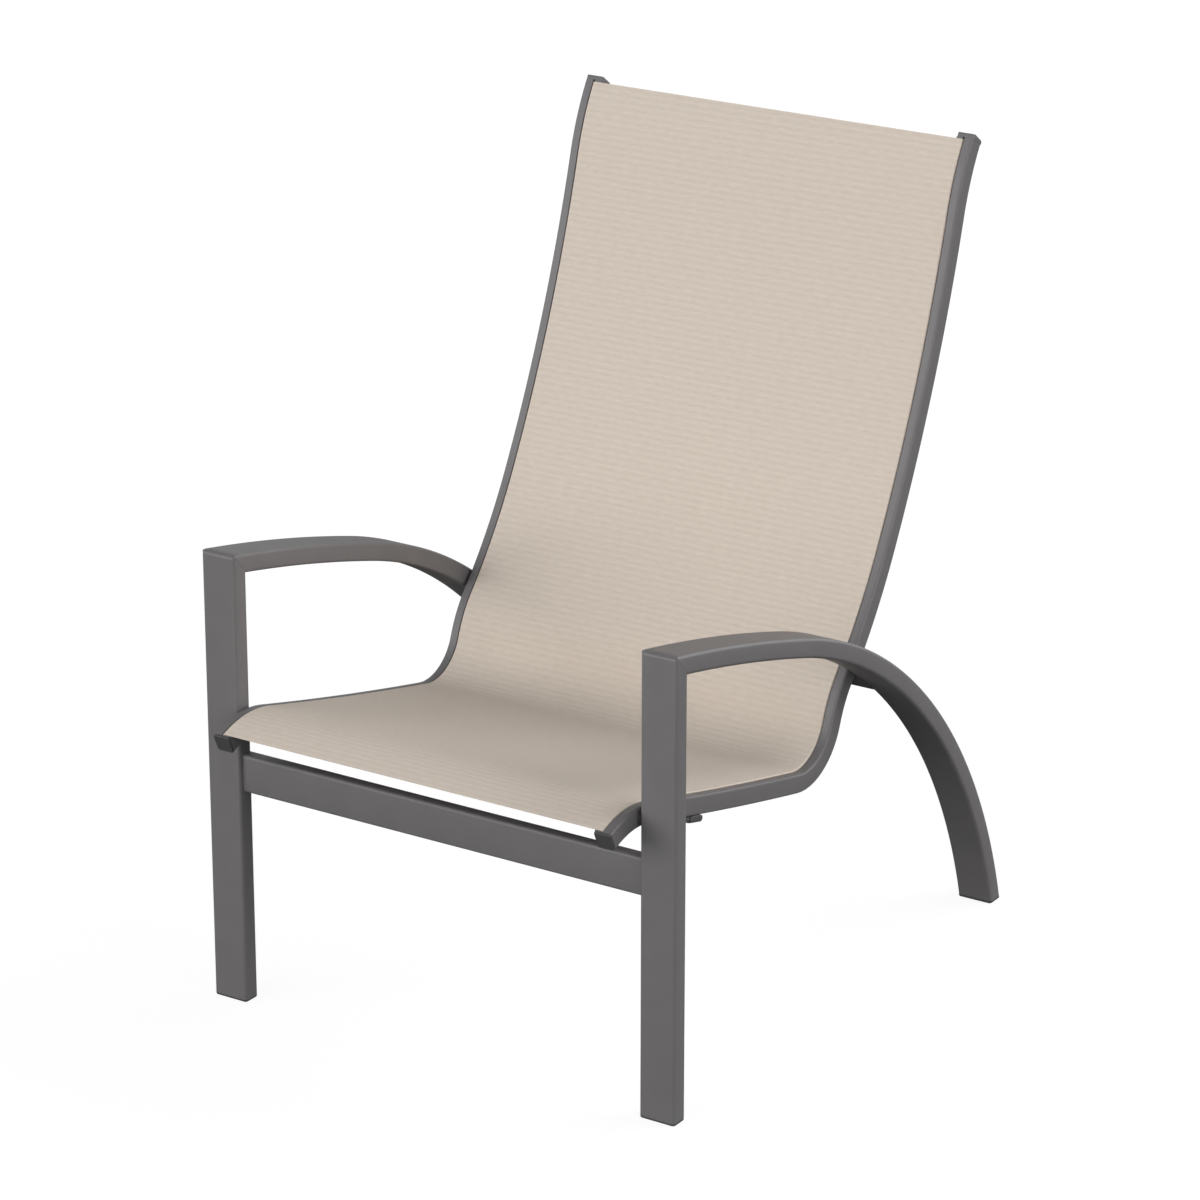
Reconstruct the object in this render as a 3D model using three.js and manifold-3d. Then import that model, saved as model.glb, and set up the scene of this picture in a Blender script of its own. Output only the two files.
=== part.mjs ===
// A high-back sling patio chair: bent rectangular aluminium tube, two sling rails and a strained sling.
// Millimetres. +X is the sitter's left, +Y runs from the front to the back, +Z is up.
// While it is put together, y = 0 is the front face of the front legs. The last lines centre it.
import * as THREE from 'three';
import { mergeVertices } from 'three/addons/utils/BufferGeometryUtils.js';
import Module from 'manifold-3d';

const wasm = await Module();
wasm.setup();

// Frame tube, used for the front legs and for the arms with their rear legs
const overallWidth = 694.5;
const tubeWidth = 44.5;
const tubeDepth = 25.4;
const tubeCorner = 4.5;
const tubeWall = 2.1;
const cornerHeight = 610;
const weldGap = 0.3;

// The arm leaves the corner on a gentle arc and runs on in a tighter one to the rear foot
const armSlope = -10.25;
const armFrontRadius = 2880;
const armFrontTurn = -6.19;
const armRearRadius = 747;

// Crossbars
const crossbarHeight = 50.8;
const crossbarDepth = 19;
const crossbarCorner = 3;
const crossbarWall = 2;
const frontCrossbarTop = 341.5;
const frontCrossbarInset = 6.4;
const rearCrossbarPlace = 610;
const rearCrossbarInset = 0.4;

// Foot glides
const glideThickness = 3;
const glideEdge = 1.6;
const glidePlugLength = 16;
const plugClearance = 0.35;

// Sling profile: the top face of the cloth, seen from the side, as arcs that run on smoothly
const slingStartY = -54.6;
const slingStartZ = 394.1;
const slingStartSlope = 24.2;
const noseRadius = 141.7;
const noseTurn = -38.88;
const seatRadius = 7305;
const seatTurn = 2.77;
const bendRadius = 63.7;
const bendTurn = 82.95;
const lumbarRadius = 167.2;
const lumbarTurn = -22.43;
const lowerBackRadius = 752;
const lowerBackTurn = 13.15;
const upperBackRadius = 1925;
const upperBackTurn = 12.95;
const curlRadius = 361;
const curlTurn = -15.6;

// Sling rail, an extrusion with a spline groove in its top face
const railWidth = 24;
const railDepth = 21;
const railGapToLeg = 7.5;
const railCorner = 3;
const railInnerCorner = 1.2;
const railWall = 1.8;
const railUpperWall = 2.2;
const railFrontLead = 1.4;
const railTopLead = 3;
const grooveRadius = 4;
const grooveDepth = 6;
const grooveOffset = 10.7;
const slotWidth = 2.4;
const webThickness = 2;
const upperChamberDepth = 9.2;

// Sling cloth and its spline rods
const clothThickness = 0.9;
const clothClearance = 0.3;
const hemWall = 0.9;
const splineRadius = 2.4;
const splineClearance = 0.3;
const splineShortfall = 4;

// Rail end caps
const frontCapThickness = 3;
const topCapThickness = 5;
const capPlugLength = 7;
const capEdge = 1;

// Spreader bars, flat oval tube bowed away from the sitter
const spreaderWidth = 28.6;
const spreaderThickness = 12.7;
const spreaderWall = 1.6;
const spreaderBow = 26;
const bowSteps = 16;
const seatSpreaderPlace = 243;
const backSpreaderPlace = 1085;
const spreaderPlugHead = 2.5;
const seatGap = 0.3;
const socketDepth = 14;
const socketWall = 2.4;
const socketBase = 3;
const backSpreaderDrop = 13;

// Fasteners
const boltRadius = 3;
const boltHoleRadius = 3.3;
const boltHeadRadius = 5.5;
const boltHeadHeight = 3.3;
const boltReach = 9;
const hexSocketRadius = 2.3;
const hexSocketDepth = 1.8;
const spacerRadius = 8;
const insertRadius = 4.6;
const insertFlangeRadius = 6.6;
const insertFlange = 1;
const insertLength = 12;
const insertClearance = 0.3;
const frontBoltPlace = 12.7;
const screwRadius = 2.4;
const screwHoleRadius = 2.7;
const screwHeadRadius = 4.6;
const screwHeadHeight = 2.6;
const screwReach = 4;
const backScrewHeadRadius = 4;
const backScrewReach = 2;
const pinSides = 12;

// Overrun that carries every cut clean through
const overrun = 5;
const cutterSize = 260;

// Two stations of a sweep are never closer than this
const shortestStep = 1;

// Values that follow from the sizes above
const outerFace = overallWidth / 2;
const innerFace = outerFace - tubeWidth;
const tubeCentre = outerFace - tubeWidth / 2;
const railOuter = innerFace - railGapToLeg;
const railInner = railOuter - railWidth;
const slotCentre = railInner + grooveOffset;
const railTop = -(clothThickness + clothClearance);
const railBottom = railTop - railDepth;
const grooveCentre = railTop - grooveDepth;
const chamberTop = grooveCentre - grooveRadius - webThickness;
const chamberBottom = railBottom + railWall;
const boltLevel = (chamberTop + chamberBottom) / 2;

const materials = {
  frame: { color: 0x6d6b6c, roughness: 0.55, metalness: 0.3 },
  cloth: { color: 0xd2c8bb, roughness: 0.9, metalness: 0 },
  plastic: { color: 0x4a494a, roughness: 0.6, metalness: 0 },
  spline: { color: 0xb9b4ad, roughness: 0.5, metalness: 0 },
  steel: { color: 0xb8b8ba, roughness: 0.35, metalness: 0.9 },
};

const chair = new THREE.Group();

function addPiece(name, geometry, finish) {
  const mesh = new THREE.Mesh(geometry, new THREE.MeshStandardMaterial(materials[finish]));
  mesh.name = name;
  chair.add(mesh);
}

// A path in the side plane, made of arcs that leave each other without a kink.
// Its stations are closer where it bends harder, so a sweep along it spends its faces there.
class SidePath extends THREE.Curve {
  constructor(y, z, slope, arcs) {
    super();
    this.arcs = [];
    this.stations = [0];
    let heading = THREE.MathUtils.degToRad(slope);
    let distance = 0;
    for (const { length, turn, steps } of arcs) {
      const turnAngle = THREE.MathUtils.degToRad(turn);
      const arc = { start: distance, length, heading, turn: turnAngle, y, z };
      this.arcs.push(arc);
      for (let step = 1; step <= steps; step += 1) {
        this.stations.push(distance + (length * step) / steps);
      }
      const end = this.pointOn(arc, length);
      y = end.y;
      z = end.z;
      heading += turnAngle;
      distance += length;
    }
    this.total = distance;
  }

  get steps() {
    return this.stations.length - 1;
  }

  arcAt(distance) {
    const past = this.arcs.filter((arc) => arc.start <= distance);
    return past.length > 0 ? past[past.length - 1] : this.arcs[0];
  }

  pointOn(arc, along) {
    if (arc.turn === 0) {
      return new THREE.Vector3(0, arc.y + along * Math.cos(arc.heading), arc.z + along * Math.sin(arc.heading));
    }
    const radius = arc.length / arc.turn;
    const heading = arc.heading + along / radius;
    return new THREE.Vector3(
      0,
      arc.y + radius * (Math.sin(heading) - Math.sin(arc.heading)),
      arc.z - radius * (Math.cos(heading) - Math.cos(arc.heading)),
    );
  }

  pointAtDistance(distance) {
    const arc = this.arcAt(distance);
    return this.pointOn(arc, distance - arc.start);
  }

  headingAtDistance(distance) {
    const arc = this.arcAt(distance);
    return arc.heading + (arc.turn * (distance - arc.start)) / arc.length;
  }

  distanceAt(share) {
    const place = share * this.steps;
    const below = Math.min(Math.floor(place), this.steps - 1);
    return THREE.MathUtils.lerp(this.stations[below], this.stations[below + 1], place - below);
  }

  getPoint(share) {
    return this.pointAtDistance(this.distanceAt(share));
  }

  getPointAt(share) {
    return this.getPoint(share);
  }

  getTangent(share) {
    const heading = this.headingAtDistance(this.distanceAt(share));
    return new THREE.Vector3(0, Math.cos(heading), Math.sin(heading));
  }

  getTangentAt(share) {
    return this.getTangent(share);
  }

  // The stretch between two distances, on the same stations
  part(from, to) {
    const piece = Object.create(this);
    const inside = this.stations.filter((station) => station > from + shortestStep && station < to - shortestStep);
    piece.stations = [from, ...inside, to];
    return piece;
  }

  // A frame across the path: x across the chair, y along the path, z away from its face
  frameAt(distance, lift = 0) {
    const heading = this.headingAtDistance(distance);
    const along = new THREE.Vector3(0, Math.cos(heading), Math.sin(heading));
    const away = new THREE.Vector3(0, -Math.sin(heading), Math.cos(heading));
    const place = this.pointAtDistance(distance).addScaledVector(away, lift);
    return new THREE.Matrix4().makeBasis(new THREE.Vector3(1, 0, 0), along, away).setPosition(place);
  }
}

function arcOf(radius, turn, steps) {
  return { length: radius * Math.abs(THREE.MathUtils.degToRad(turn)), turn, steps };
}

// A bar's path across the chair, straight at both ends and bowed between them
class BowedPath extends THREE.Curve {
  constructor(span, tail, bow) {
    super();
    this.span = span;
    this.tail = tail;
    this.bow = bow;
  }

  getPoint(share) {
    const x = (share - 1 / 2) * (this.span + 2 * this.tail);
    const inSpan = THREE.MathUtils.clamp(x / this.span + 1 / 2, 0, 1);
    return new THREE.Vector3(x, 0, (-this.bow * (1 - Math.cos(2 * Math.PI * inSpan))) / 2);
  }
}

// Outlines
function roundedOutline(target, left, bottom, width, height, corner, steps) {
  const points = [];
  const centres = [
    [left + width - corner, bottom + corner, -Math.PI / 2],
    [left + width - corner, bottom + height - corner, 0],
    [left + corner, bottom + height - corner, Math.PI / 2],
    [left + corner, bottom + corner, Math.PI],
  ];
  for (const [x, y, from] of centres) {
    for (let step = 0; step <= steps; step += 1) {
      const angle = from + (Math.PI / 2) * (step / steps);
      points.push(new THREE.Vector2(x + corner * Math.cos(angle), y + corner * Math.sin(angle)));
    }
  }
  return target.setFromPoints(points);
}

function tubeShape(width, height, corner, wall, boreSteps = 1) {
  const shape = roundedOutline(new THREE.Shape(), -width / 2, -height / 2, width, height, corner, 3);
  const bore = [width - 2 * wall, height - 2 * wall];
  const boreCorner = Math.max(corner - wall, wall / 2);
  shape.holes.push(roundedOutline(new THREE.Path(), -bore[0] / 2, -bore[1] / 2, ...bore, boreCorner, boreSteps));
  return shape;
}

function barShape(width, height, corner, steps = 3) {
  return roundedOutline(new THREE.Shape(), -width / 2, -height / 2, width, height, corner, steps);
}

function circlePoints(x, y, radius, sides, from = 0, to = 2 * Math.PI) {
  const points = [];
  for (let side = 0; side <= sides; side += 1) {
    const angle = from + ((to - from) * side) / sides;
    points.push(new THREE.Vector2(x + radius * Math.cos(angle), y + radius * Math.sin(angle)));
  }
  return points;
}

function circlePath(target, x, y, radius, sides) {
  return target.setFromPoints(circlePoints(x, y, radius, sides).slice(0, sides));
}

// Sweeps. A side sweep's shape has x towards the sitter's right and y away from the path's face.
function sweep(shape, path, steps) {
  return new THREE.ExtrudeGeometry(shape, { steps, bevelEnabled: false, extrudePath: path });
}

function sideSweep(shape, path) {
  return sweep(shape, path, path.steps);
}

// A bar across the chair: the shape's x is the frame's y and its y is the frame's z
function across(shape, from, to, frame) {
  const geometry = new THREE.ExtrudeGeometry(shape, { depth: to - from, steps: 1, bevelEnabled: false });
  geometry.translate(0, 0, from);
  const turned = new THREE.Matrix4().makeBasis(
    new THREE.Vector3(0, 1, 0),
    new THREE.Vector3(0, 0, 1),
    new THREE.Vector3(1, 0, 0),
  );
  return geometry.applyMatrix4(turned).applyMatrix4(frame);
}

function upright(shape, from, to) {
  const geometry = new THREE.ExtrudeGeometry(shape, { depth: to - from, steps: 1, bevelEnabled: false });
  return geometry.translate(0, 0, from);
}

// Solids
function solidOf(geometry) {
  const bare = geometry.clone();
  bare.deleteAttribute('normal');
  bare.deleteAttribute('uv');
  const welded = mergeVertices(bare);
  const mesh = new wasm.Mesh({
    numProp: 3,
    vertProperties: new Float32Array(welded.getAttribute('position').array),
    triVerts: new Uint32Array(welded.index.array),
  });
  return new wasm.Manifold(mesh);
}

function geometryOf(solid) {
  const mesh = solid.getMesh();
  const geometry = new THREE.BufferGeometry();
  geometry.setAttribute('position', new THREE.BufferAttribute(new Float32Array(mesh.vertProperties), 3));
  geometry.setIndex(new THREE.BufferAttribute(new Uint32Array(mesh.triVerts), 1));
  geometry.computeVertexNormals();
  return geometry;
}

function cut(geometry, cutters) {
  return geometryOf(cutters.reduce((solid, cutter) => solid.subtract(solidOf(cutter)), solidOf(geometry)));
}

function join(geometries) {
  const [first, ...others] = geometries.map(solidOf);
  return geometryOf(others.reduce((solid, other) => solid.add(other), first));
}

// Everything past a plane that faces the heading's left
function beyond(y, z, heading, offset) {
  const along = new THREE.Vector3(0, Math.cos(heading), Math.sin(heading));
  const away = new THREE.Vector3(0, -Math.sin(heading), Math.cos(heading));
  const place = new THREE.Vector3(0, y, z).addScaledVector(away, offset + cutterSize / 2);
  const block = new THREE.BoxGeometry(8 * cutterSize, cutterSize, cutterSize);
  return block.applyMatrix4(new THREE.Matrix4().makeBasis(new THREE.Vector3(1, 0, 0), along, away).setPosition(place));
}

const flat = new THREE.Matrix4();

// The arm's centre line, from ahead of the corner to below the floor
const armAngle = THREE.MathUtils.degToRad(armSlope);
const armStartZ = cornerHeight - tubeDepth / 2 / Math.cos(armAngle);
const armLead = tubeDepth;
const armStart = [-armLead * Math.cos(armAngle), armStartZ - armLead * Math.sin(armAngle), armSlope];
const armFront = [{ length: armLead, turn: 0, steps: 1 }, arcOf(armFrontRadius, armFrontTurn, 4)];

// The rear arc turns until it is through the floor, so that the foot can be cut level
function turnToFloor() {
  const front = new SidePath(...armStart, armFront);
  const heading = front.headingAtDistance(front.total);
  const drop = front.pointAtDistance(front.total).z + tubeDepth;
  const floorHeading = -Math.acos(Math.cos(heading) - drop / armRearRadius);
  return THREE.MathUtils.radToDeg(floorHeading - heading);
}

const armPath = new SidePath(...armStart, [...armFront, arcOf(armRearRadius, turnToFloor(), 20)]);

// The sling's path, with straight leads at both ends that carry the rails past the cloth
const slingLeadLength = 40;
const slingAngle = THREE.MathUtils.degToRad(slingStartSlope);
const slingPath = new SidePath(
  slingStartY - slingLeadLength * Math.cos(slingAngle),
  slingStartZ - slingLeadLength * Math.sin(slingAngle),
  slingStartSlope,
  [
    { length: slingLeadLength, turn: 0, steps: 1 },
    arcOf(noseRadius, noseTurn, 7),
    arcOf(seatRadius, seatTurn, 2),
    arcOf(bendRadius, bendTurn, 9),
    arcOf(lumbarRadius, lumbarTurn, 3),
    arcOf(lowerBackRadius, lowerBackTurn, 3),
    arcOf(upperBackRadius, upperBackTurn, 4),
    arcOf(curlRadius, curlTurn, 3),
    { length: slingLeadLength, turn: 0, steps: 1 },
  ],
);
const clothFront = slingLeadLength;
const clothEnd = slingPath.total - slingLeadLength;
const railFront = clothFront - railFrontLead;
const railEnd = clothEnd + railTopLead;

// Where a path reaches a given depth from the front
function distanceAtY(path, y) {
  let low = 0;
  let high = path.total;
  for (let halving = 0; halving < 50; halving += 1) {
    const middle = (low + high) / 2;
    if (path.pointAtDistance(middle).y < y) {
      low = middle;
    } else {
      high = middle;
    }
  }
  return low;
}

// Where the rail's bolt line crosses the arm's centre line
function railAtArm() {
  let low = distanceAtY(slingPath, slingStartY + slingPath.total / 3);
  let high = clothEnd;
  for (let halving = 0; halving < 50; halving += 1) {
    const middle = (low + high) / 2;
    const place = new THREE.Vector3().setFromMatrixPosition(slingPath.frameAt(middle, boltLevel));
    const arm = armPath.pointAtDistance(distanceAtY(armPath, place.y));
    if (place.z < arm.z) {
      low = middle;
    } else {
      high = middle;
    }
  }
  return low;
}

const frontBoltDistance = distanceAtY(slingPath, frontBoltPlace);
const rearBoltDistance = railAtArm();
const frontBoltFrame = slingPath.frameAt(frontBoltDistance, boltLevel);
const rearBoltFrame = slingPath.frameAt(rearBoltDistance, boltLevel);
const boltFrames = { front: frontBoltFrame, rear: rearBoltFrame };

const sides = [
  { word: 'right', sign: -1 },
  { word: 'left', sign: 1 },
];

// A round bar across the chair, from one distance off the centre plane to another
function pinAcross(radius, from, to, frame, sign) {
  const shape = circlePath(new THREE.Shape(), 0, 0, radius, pinSides);
  const ends = [from * sign, to * sign].sort((a, b) => a - b);
  return across(shape, ends[0], ends[1], frame);
}

// Front legs and arms, mitred at the corner
const mitreHeading = (armAngle - Math.PI / 2) / 2;

function frontLeg(sign) {
  const shape = tubeShape(tubeWidth, tubeDepth, tubeCorner, tubeWall);
  const leg = upright(shape, glideThickness + weldGap, cornerHeight + overrun);
  leg.translate(sign * tubeCentre, tubeDepth / 2, 0);
  const hole = pinAcross(insertRadius, innerFace - overrun, innerFace + tubeWall + overrun, frontBoltFrame, sign);
  return cut(leg, [beyond(0, cornerHeight, mitreHeading, -weldGap / 2), hole]);
}

function arm(sign) {
  const tube = sideSweep(tubeShape(tubeWidth, tubeDepth, tubeCorner, tubeWall), armPath);
  tube.translate(sign * tubeCentre, 0, 0);
  const hole = pinAcross(insertRadius, innerFace - overrun, innerFace + tubeWall + overrun, rearBoltFrame, sign);
  const floor = beyond(armPath.pointAtDistance(armPath.total).y, glideThickness + weldGap, Math.PI, 0);
  return cut(tube, [beyond(0, cornerHeight, mitreHeading + Math.PI, -weldGap / 2), floor, hole]);
}

for (const { word, sign } of sides) {
  addPiece(`front_leg_${word}`, frontLeg(sign), 'frame');
  addPiece(`arm_${word}`, arm(sign), 'frame');
}

// Crossbars, butted between the tubes' inner faces
function crossbar(frame) {
  const shape = tubeShape(crossbarHeight, crossbarDepth, crossbarCorner, crossbarWall);
  return across(shape, -(innerFace - weldGap), innerFace - weldGap, frame);
}

const frontCrossbarFrame = new THREE.Matrix4()
  .makeRotationX(-Math.PI / 2)
  .setPosition(0, frontCrossbarInset + crossbarDepth / 2, frontCrossbarTop - crossbarHeight / 2);
addPiece('front_crossbar', crossbar(frontCrossbarFrame), 'frame');

const rearCrossbarLift = -(tubeDepth - crossbarDepth) / 2 + rearCrossbarInset;
const rearCrossbarFrame = armPath.frameAt(rearCrossbarPlace, rearCrossbarLift);
addPiece('rear_crossbar', crossbar(rearCrossbarFrame), 'frame');

// Foot glides: a rounded sole under the tube and a plug up its bore
function boreShape() {
  const width = tubeWidth - 2 * tubeWall - 2 * plugClearance;
  const depth = tubeDepth - 2 * tubeWall - 2 * plugClearance;
  return barShape(width, depth, tubeCorner);
}

function sole(width, depth) {
  const inset = 2 * glideEdge;
  const pad = new THREE.ExtrudeGeometry(barShape(width - inset, depth - inset, tubeCorner - glideEdge), {
    depth: 2 * (glideThickness - glideEdge),
    steps: 1,
    bevelEnabled: true,
    bevelSize: glideEdge,
    bevelThickness: glideEdge,
    bevelSegments: 2,
  });
  return cut(pad.translate(0, 0, glideEdge), [beyond(0, glideThickness, 0, 0)]);
}

function frontGlide(sign) {
  const plug = upright(boreShape(), glideThickness / 2, glideThickness + glidePlugLength);
  return join([sole(tubeWidth, tubeDepth), plug]).translate(sign * tubeCentre, tubeDepth / 2, 0);
}

// The arm's centre line where it meets the floor
function distanceAtZ(path, z) {
  let low = 0;
  let high = path.total;
  for (let halving = 0; halving < 50; halving += 1) {
    const middle = (low + high) / 2;
    if (path.pointAtDistance(middle).z > z) {
      low = middle;
    } else {
      high = middle;
    }
  }
  return low;
}

const rearFootDistance = distanceAtZ(armPath, glideThickness / 2);
const rearFoot = armPath.pointAtDistance(rearFootDistance);
const rearFootLean = armPath.headingAtDistance(rearFootDistance);

function rearGlide(sign) {
  const depth = tubeDepth / Math.abs(Math.sin(rearFootLean));
  const base = sole(tubeWidth, depth).translate(0, rearFoot.y, 0);
  const stem = sideSweep(boreShape(), armPath.part(rearFootDistance - glidePlugLength, armPath.total));
  const plug = cut(stem, [beyond(rearFoot.y, glideThickness / 2, Math.PI, 0)]);
  return join([base, plug]).translate(sign * tubeCentre, 0, 0);
}

for (const { word, sign } of sides) {
  addPiece(`foot_glide_front_${word}`, frontGlide(sign), 'plastic');
  addPiece(`foot_glide_rear_${word}`, rearGlide(sign), 'plastic');
}

// Sling rails. The section is drawn for the sitter's left, x outward, and mirrored for the right.
function railOutline() {
  const points = [];
  const corner = (x, y, radius, from, steps) => {
    points.push(...circlePoints(x, y, radius, steps, from, from - Math.PI / 2));
  };
  const neck = Math.asin(slotWidth / 2 / grooveRadius);
  points.push(new THREE.Vector2(slotCentre - slotWidth / 2, railTop));
  const bore = circlePoints(slotCentre, grooveCentre, grooveRadius, 7, Math.PI / 2 + neck, (5 * Math.PI) / 2 - neck);
  points.push(...bore);
  points.push(new THREE.Vector2(slotCentre + slotWidth / 2, railTop));
  corner(railOuter - railCorner, railTop - railCorner, railCorner, Math.PI / 2, 3);
  corner(railOuter - railCorner, railBottom + railCorner, railCorner, 0, 2);
  corner(railInner + railCorner, railBottom + railCorner, railCorner, -Math.PI / 2, 2);
  corner(railInner + railInnerCorner, railTop - railInnerCorner, railInnerCorner, Math.PI, 1);
  return points;
}

function chamberOutline(clearance) {
  const inset = railWall + clearance;
  return [
    new THREE.Vector2(railInner + inset, chamberBottom + clearance),
    new THREE.Vector2(railOuter - inset, chamberBottom + clearance),
    new THREE.Vector2(railOuter - inset, chamberTop - clearance),
    new THREE.Vector2(railInner + inset, chamberTop - clearance),
  ];
}

function sideChamberOutline() {
  const left = slotCentre + grooveRadius + webThickness;
  return [
    new THREE.Vector2(left, railTop - upperChamberDepth),
    new THREE.Vector2(railOuter - railUpperWall, railTop - upperChamberDepth),
    new THREE.Vector2(railOuter - railUpperWall, railTop - railUpperWall),
    new THREE.Vector2(left, railTop - railUpperWall),
  ];
}

// A side sweep's shape runs towards -X, so the sitter's left is drawn with x turned round
function onSide(points, sign) {
  return points.map((point) => new THREE.Vector2(-sign * point.x, point.y));
}

function railShape(sign) {
  const shape = new THREE.Shape(onSide(railOutline(), sign));
  shape.holes.push(new THREE.Path(onSide(chamberOutline(0), sign)));
  shape.holes.push(new THREE.Path(onSide(sideChamberOutline(), sign)));
  return shape;
}

// Spreader bars
const seatSpreaderLift = railBottom - seatGap - spreaderThickness / 2;
const seatSpreaderFrame = slingPath.frameAt(seatSpreaderPlace, seatSpreaderLift);
const backSpreaderFrame = slingPath.frameAt(backSpreaderPlace, railTop - backSpreaderDrop);
const screwLine = (railInner + railOuter) / 2;

// A screw's axis up into the rail at the seat spreader, as a bar along the frame's z
function pinAway(radius, from, to, frame, x) {
  const shape = circlePath(new THREE.Shape(), x, 0, radius, pinSides);
  return upright(shape, from, to).applyMatrix4(frame);
}

function slingRail(sign) {
  const rail = sideSweep(railShape(sign), slingPath.part(railFront, railEnd));
  const cutters = [];
  for (const frame of Object.values(boltFrames)) {
    cutters.push(pinAcross(boltHoleRadius, railInner - overrun, railOuter + overrun, frame, sign));
  }
  const wallTop = spreaderThickness / 2 + seatGap + railWall + overrun / 2;
  cutters.push(pinAway(screwHoleRadius, 0, wallTop, seatSpreaderFrame, sign * screwLine));
  const wallEnd = railInner + railWall + backScrewReach + seatGap;
  cutters.push(pinAcross(screwHoleRadius, railInner - overrun, wallEnd, backSpreaderFrame, sign));
  return cut(rail, cutters);
}

// Sling cloth: strained flat between the rails, turned down through each slot, hemmed round its spline
function clothShape() {
  const hemRadius = splineRadius + splineClearance + hemWall;
  const neck = Math.asin(clothThickness / 2 / hemRadius);
  const inside = slotCentre - clothThickness / 2;
  const outside = slotCentre + clothThickness / 2;
  const half = [
    new THREE.Vector2(inside - clothThickness, -clothThickness),
    new THREE.Vector2(inside, -2 * clothThickness),
    ...circlePoints(slotCentre, grooveCentre, hemRadius, 7, Math.PI / 2 + neck, (5 * Math.PI) / 2 - neck),
    new THREE.Vector2(outside, -clothThickness),
    new THREE.Vector2(outside - clothThickness / 4, -clothThickness / 4),
    new THREE.Vector2(outside - clothThickness, 0),
  ];
  const mirrored = half.map((point) => new THREE.Vector2(-point.x, point.y)).reverse();
  const shape = new THREE.Shape([...half, ...mirrored]);
  for (const { sign } of sides) {
    const hem = circlePath(new THREE.Path(), sign * slotCentre, grooveCentre, splineRadius + splineClearance, 8);
    shape.holes.push(hem);
  }
  return shape;
}

function splineRod(sign) {
  const shape = circlePath(new THREE.Shape(), -sign * slotCentre, grooveCentre, splineRadius, 8);
  return sideSweep(shape, slingPath.part(clothFront + splineShortfall, clothEnd - splineShortfall));
}

addPiece('sling_fabric', sideSweep(clothShape(), slingPath.part(clothFront, clothEnd)), 'cloth');

// Rail end caps: a plate over the section with softened edges and a plug in the lower chamber
function railCap(sign, from, outward, thickness) {
  const width = railOuter - railInner;
  const centre = (railOuter + railInner) / 2;
  const plate = new THREE.ExtrudeGeometry(
    barShape(width - 2 * capEdge, railDepth - 2 * capEdge, railCorner - capEdge),
    {
      depth: thickness - capEdge,
      steps: 1,
      bevelEnabled: true,
      bevelSize: capEdge,
      bevelThickness: capEdge / 2,
      bevelSegments: 2,
    },
  );
  plate.translate(0, 0, capEdge / 2);
  const plateBase = new THREE.Matrix4().makeBasis(
    new THREE.Vector3(-outward, 0, 0),
    new THREE.Vector3(0, 0, 1),
    new THREE.Vector3(0, outward, 0),
  );
  plate.applyMatrix4(plateBase);
  plate.translate(sign * centre, outward * weldGap, railTop - railDepth / 2);
  const plugPoints = onSide(chamberOutline(plugClearance), -sign);
  const plug = new THREE.ExtrudeGeometry(new THREE.Shape(plugPoints), {
    depth: capPlugLength + weldGap + capEdge,
    steps: 1,
    bevelEnabled: false,
  });
  plug.applyMatrix4(new THREE.Matrix4().makeBasis(
    new THREE.Vector3(1, 0, 0),
    new THREE.Vector3(0, 0, 1),
    new THREE.Vector3(0, -1, 0),
  ));
  plug.translate(0, outward > 0 ? weldGap + capEdge : capPlugLength, 0);
  return join([plate, plug]).applyMatrix4(slingPath.frameAt(from));
}

for (const { word, sign } of sides) {
  addPiece(`sling_rail_${word}`, slingRail(sign), 'frame');
  addPiece(`spline_rod_${word}`, splineRod(sign), 'spline');
  addPiece(`rail_front_cap_${word}`, railCap(sign, railFront, -1, frontCapThickness), 'plastic');
  addPiece(`rail_top_cap_${word}`, railCap(sign, railEnd, 1, topCapThickness), 'plastic');
}

// Seat spreader: its flat ends lie under the rails, screwed up into them
const seatSpan = 2 * railInner;
const seatTail = railWidth - spreaderPlugHead - weldGap;

// A bowed sweep's shape has its x downwards and its y along the rails
function bowedTube(width, thickness, span, tail, frame) {
  const shape = tubeShape(thickness, width, thickness / 2 - spreaderWall / 8, spreaderWall, 2);
  return sweep(shape, new BowedPath(span, tail, spreaderBow), bowSteps).applyMatrix4(frame);
}

function seatSpreader() {
  const bar = bowedTube(spreaderWidth, spreaderThickness, seatSpan, seatTail, seatSpreaderFrame);
  const cutters = sides.map(({ sign }) => {
    return pinAway(screwHoleRadius, -spreaderThickness, spreaderThickness, seatSpreaderFrame, sign * screwLine);
  });
  return cut(bar, cutters);
}

function spreaderPlug(sign) {
  const head = barShape(spreaderWidth, spreaderThickness, spreaderThickness / 2 - spreaderWall / 8, 4);
  const inset = spreaderWall + plugClearance;
  const bodyHeight = spreaderThickness - 2 * inset;
  const body = barShape(spreaderWidth - 2 * inset, bodyHeight, bodyHeight / 2 - spreaderWall / 8);
  const ends = [railOuter - spreaderPlugHead, railOuter].map((x) => x * sign).sort((a, b) => a - b);
  const bodyEnds = [screwLine + screwHoleRadius + plugClearance, railOuter - spreaderPlugHead / 2];
  const bodyRange = bodyEnds.map((x) => x * sign).sort((a, b) => a - b);
  return join([across(head, ...ends, flat), across(body, ...bodyRange, flat)]).applyMatrix4(seatSpreaderFrame);
}

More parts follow.
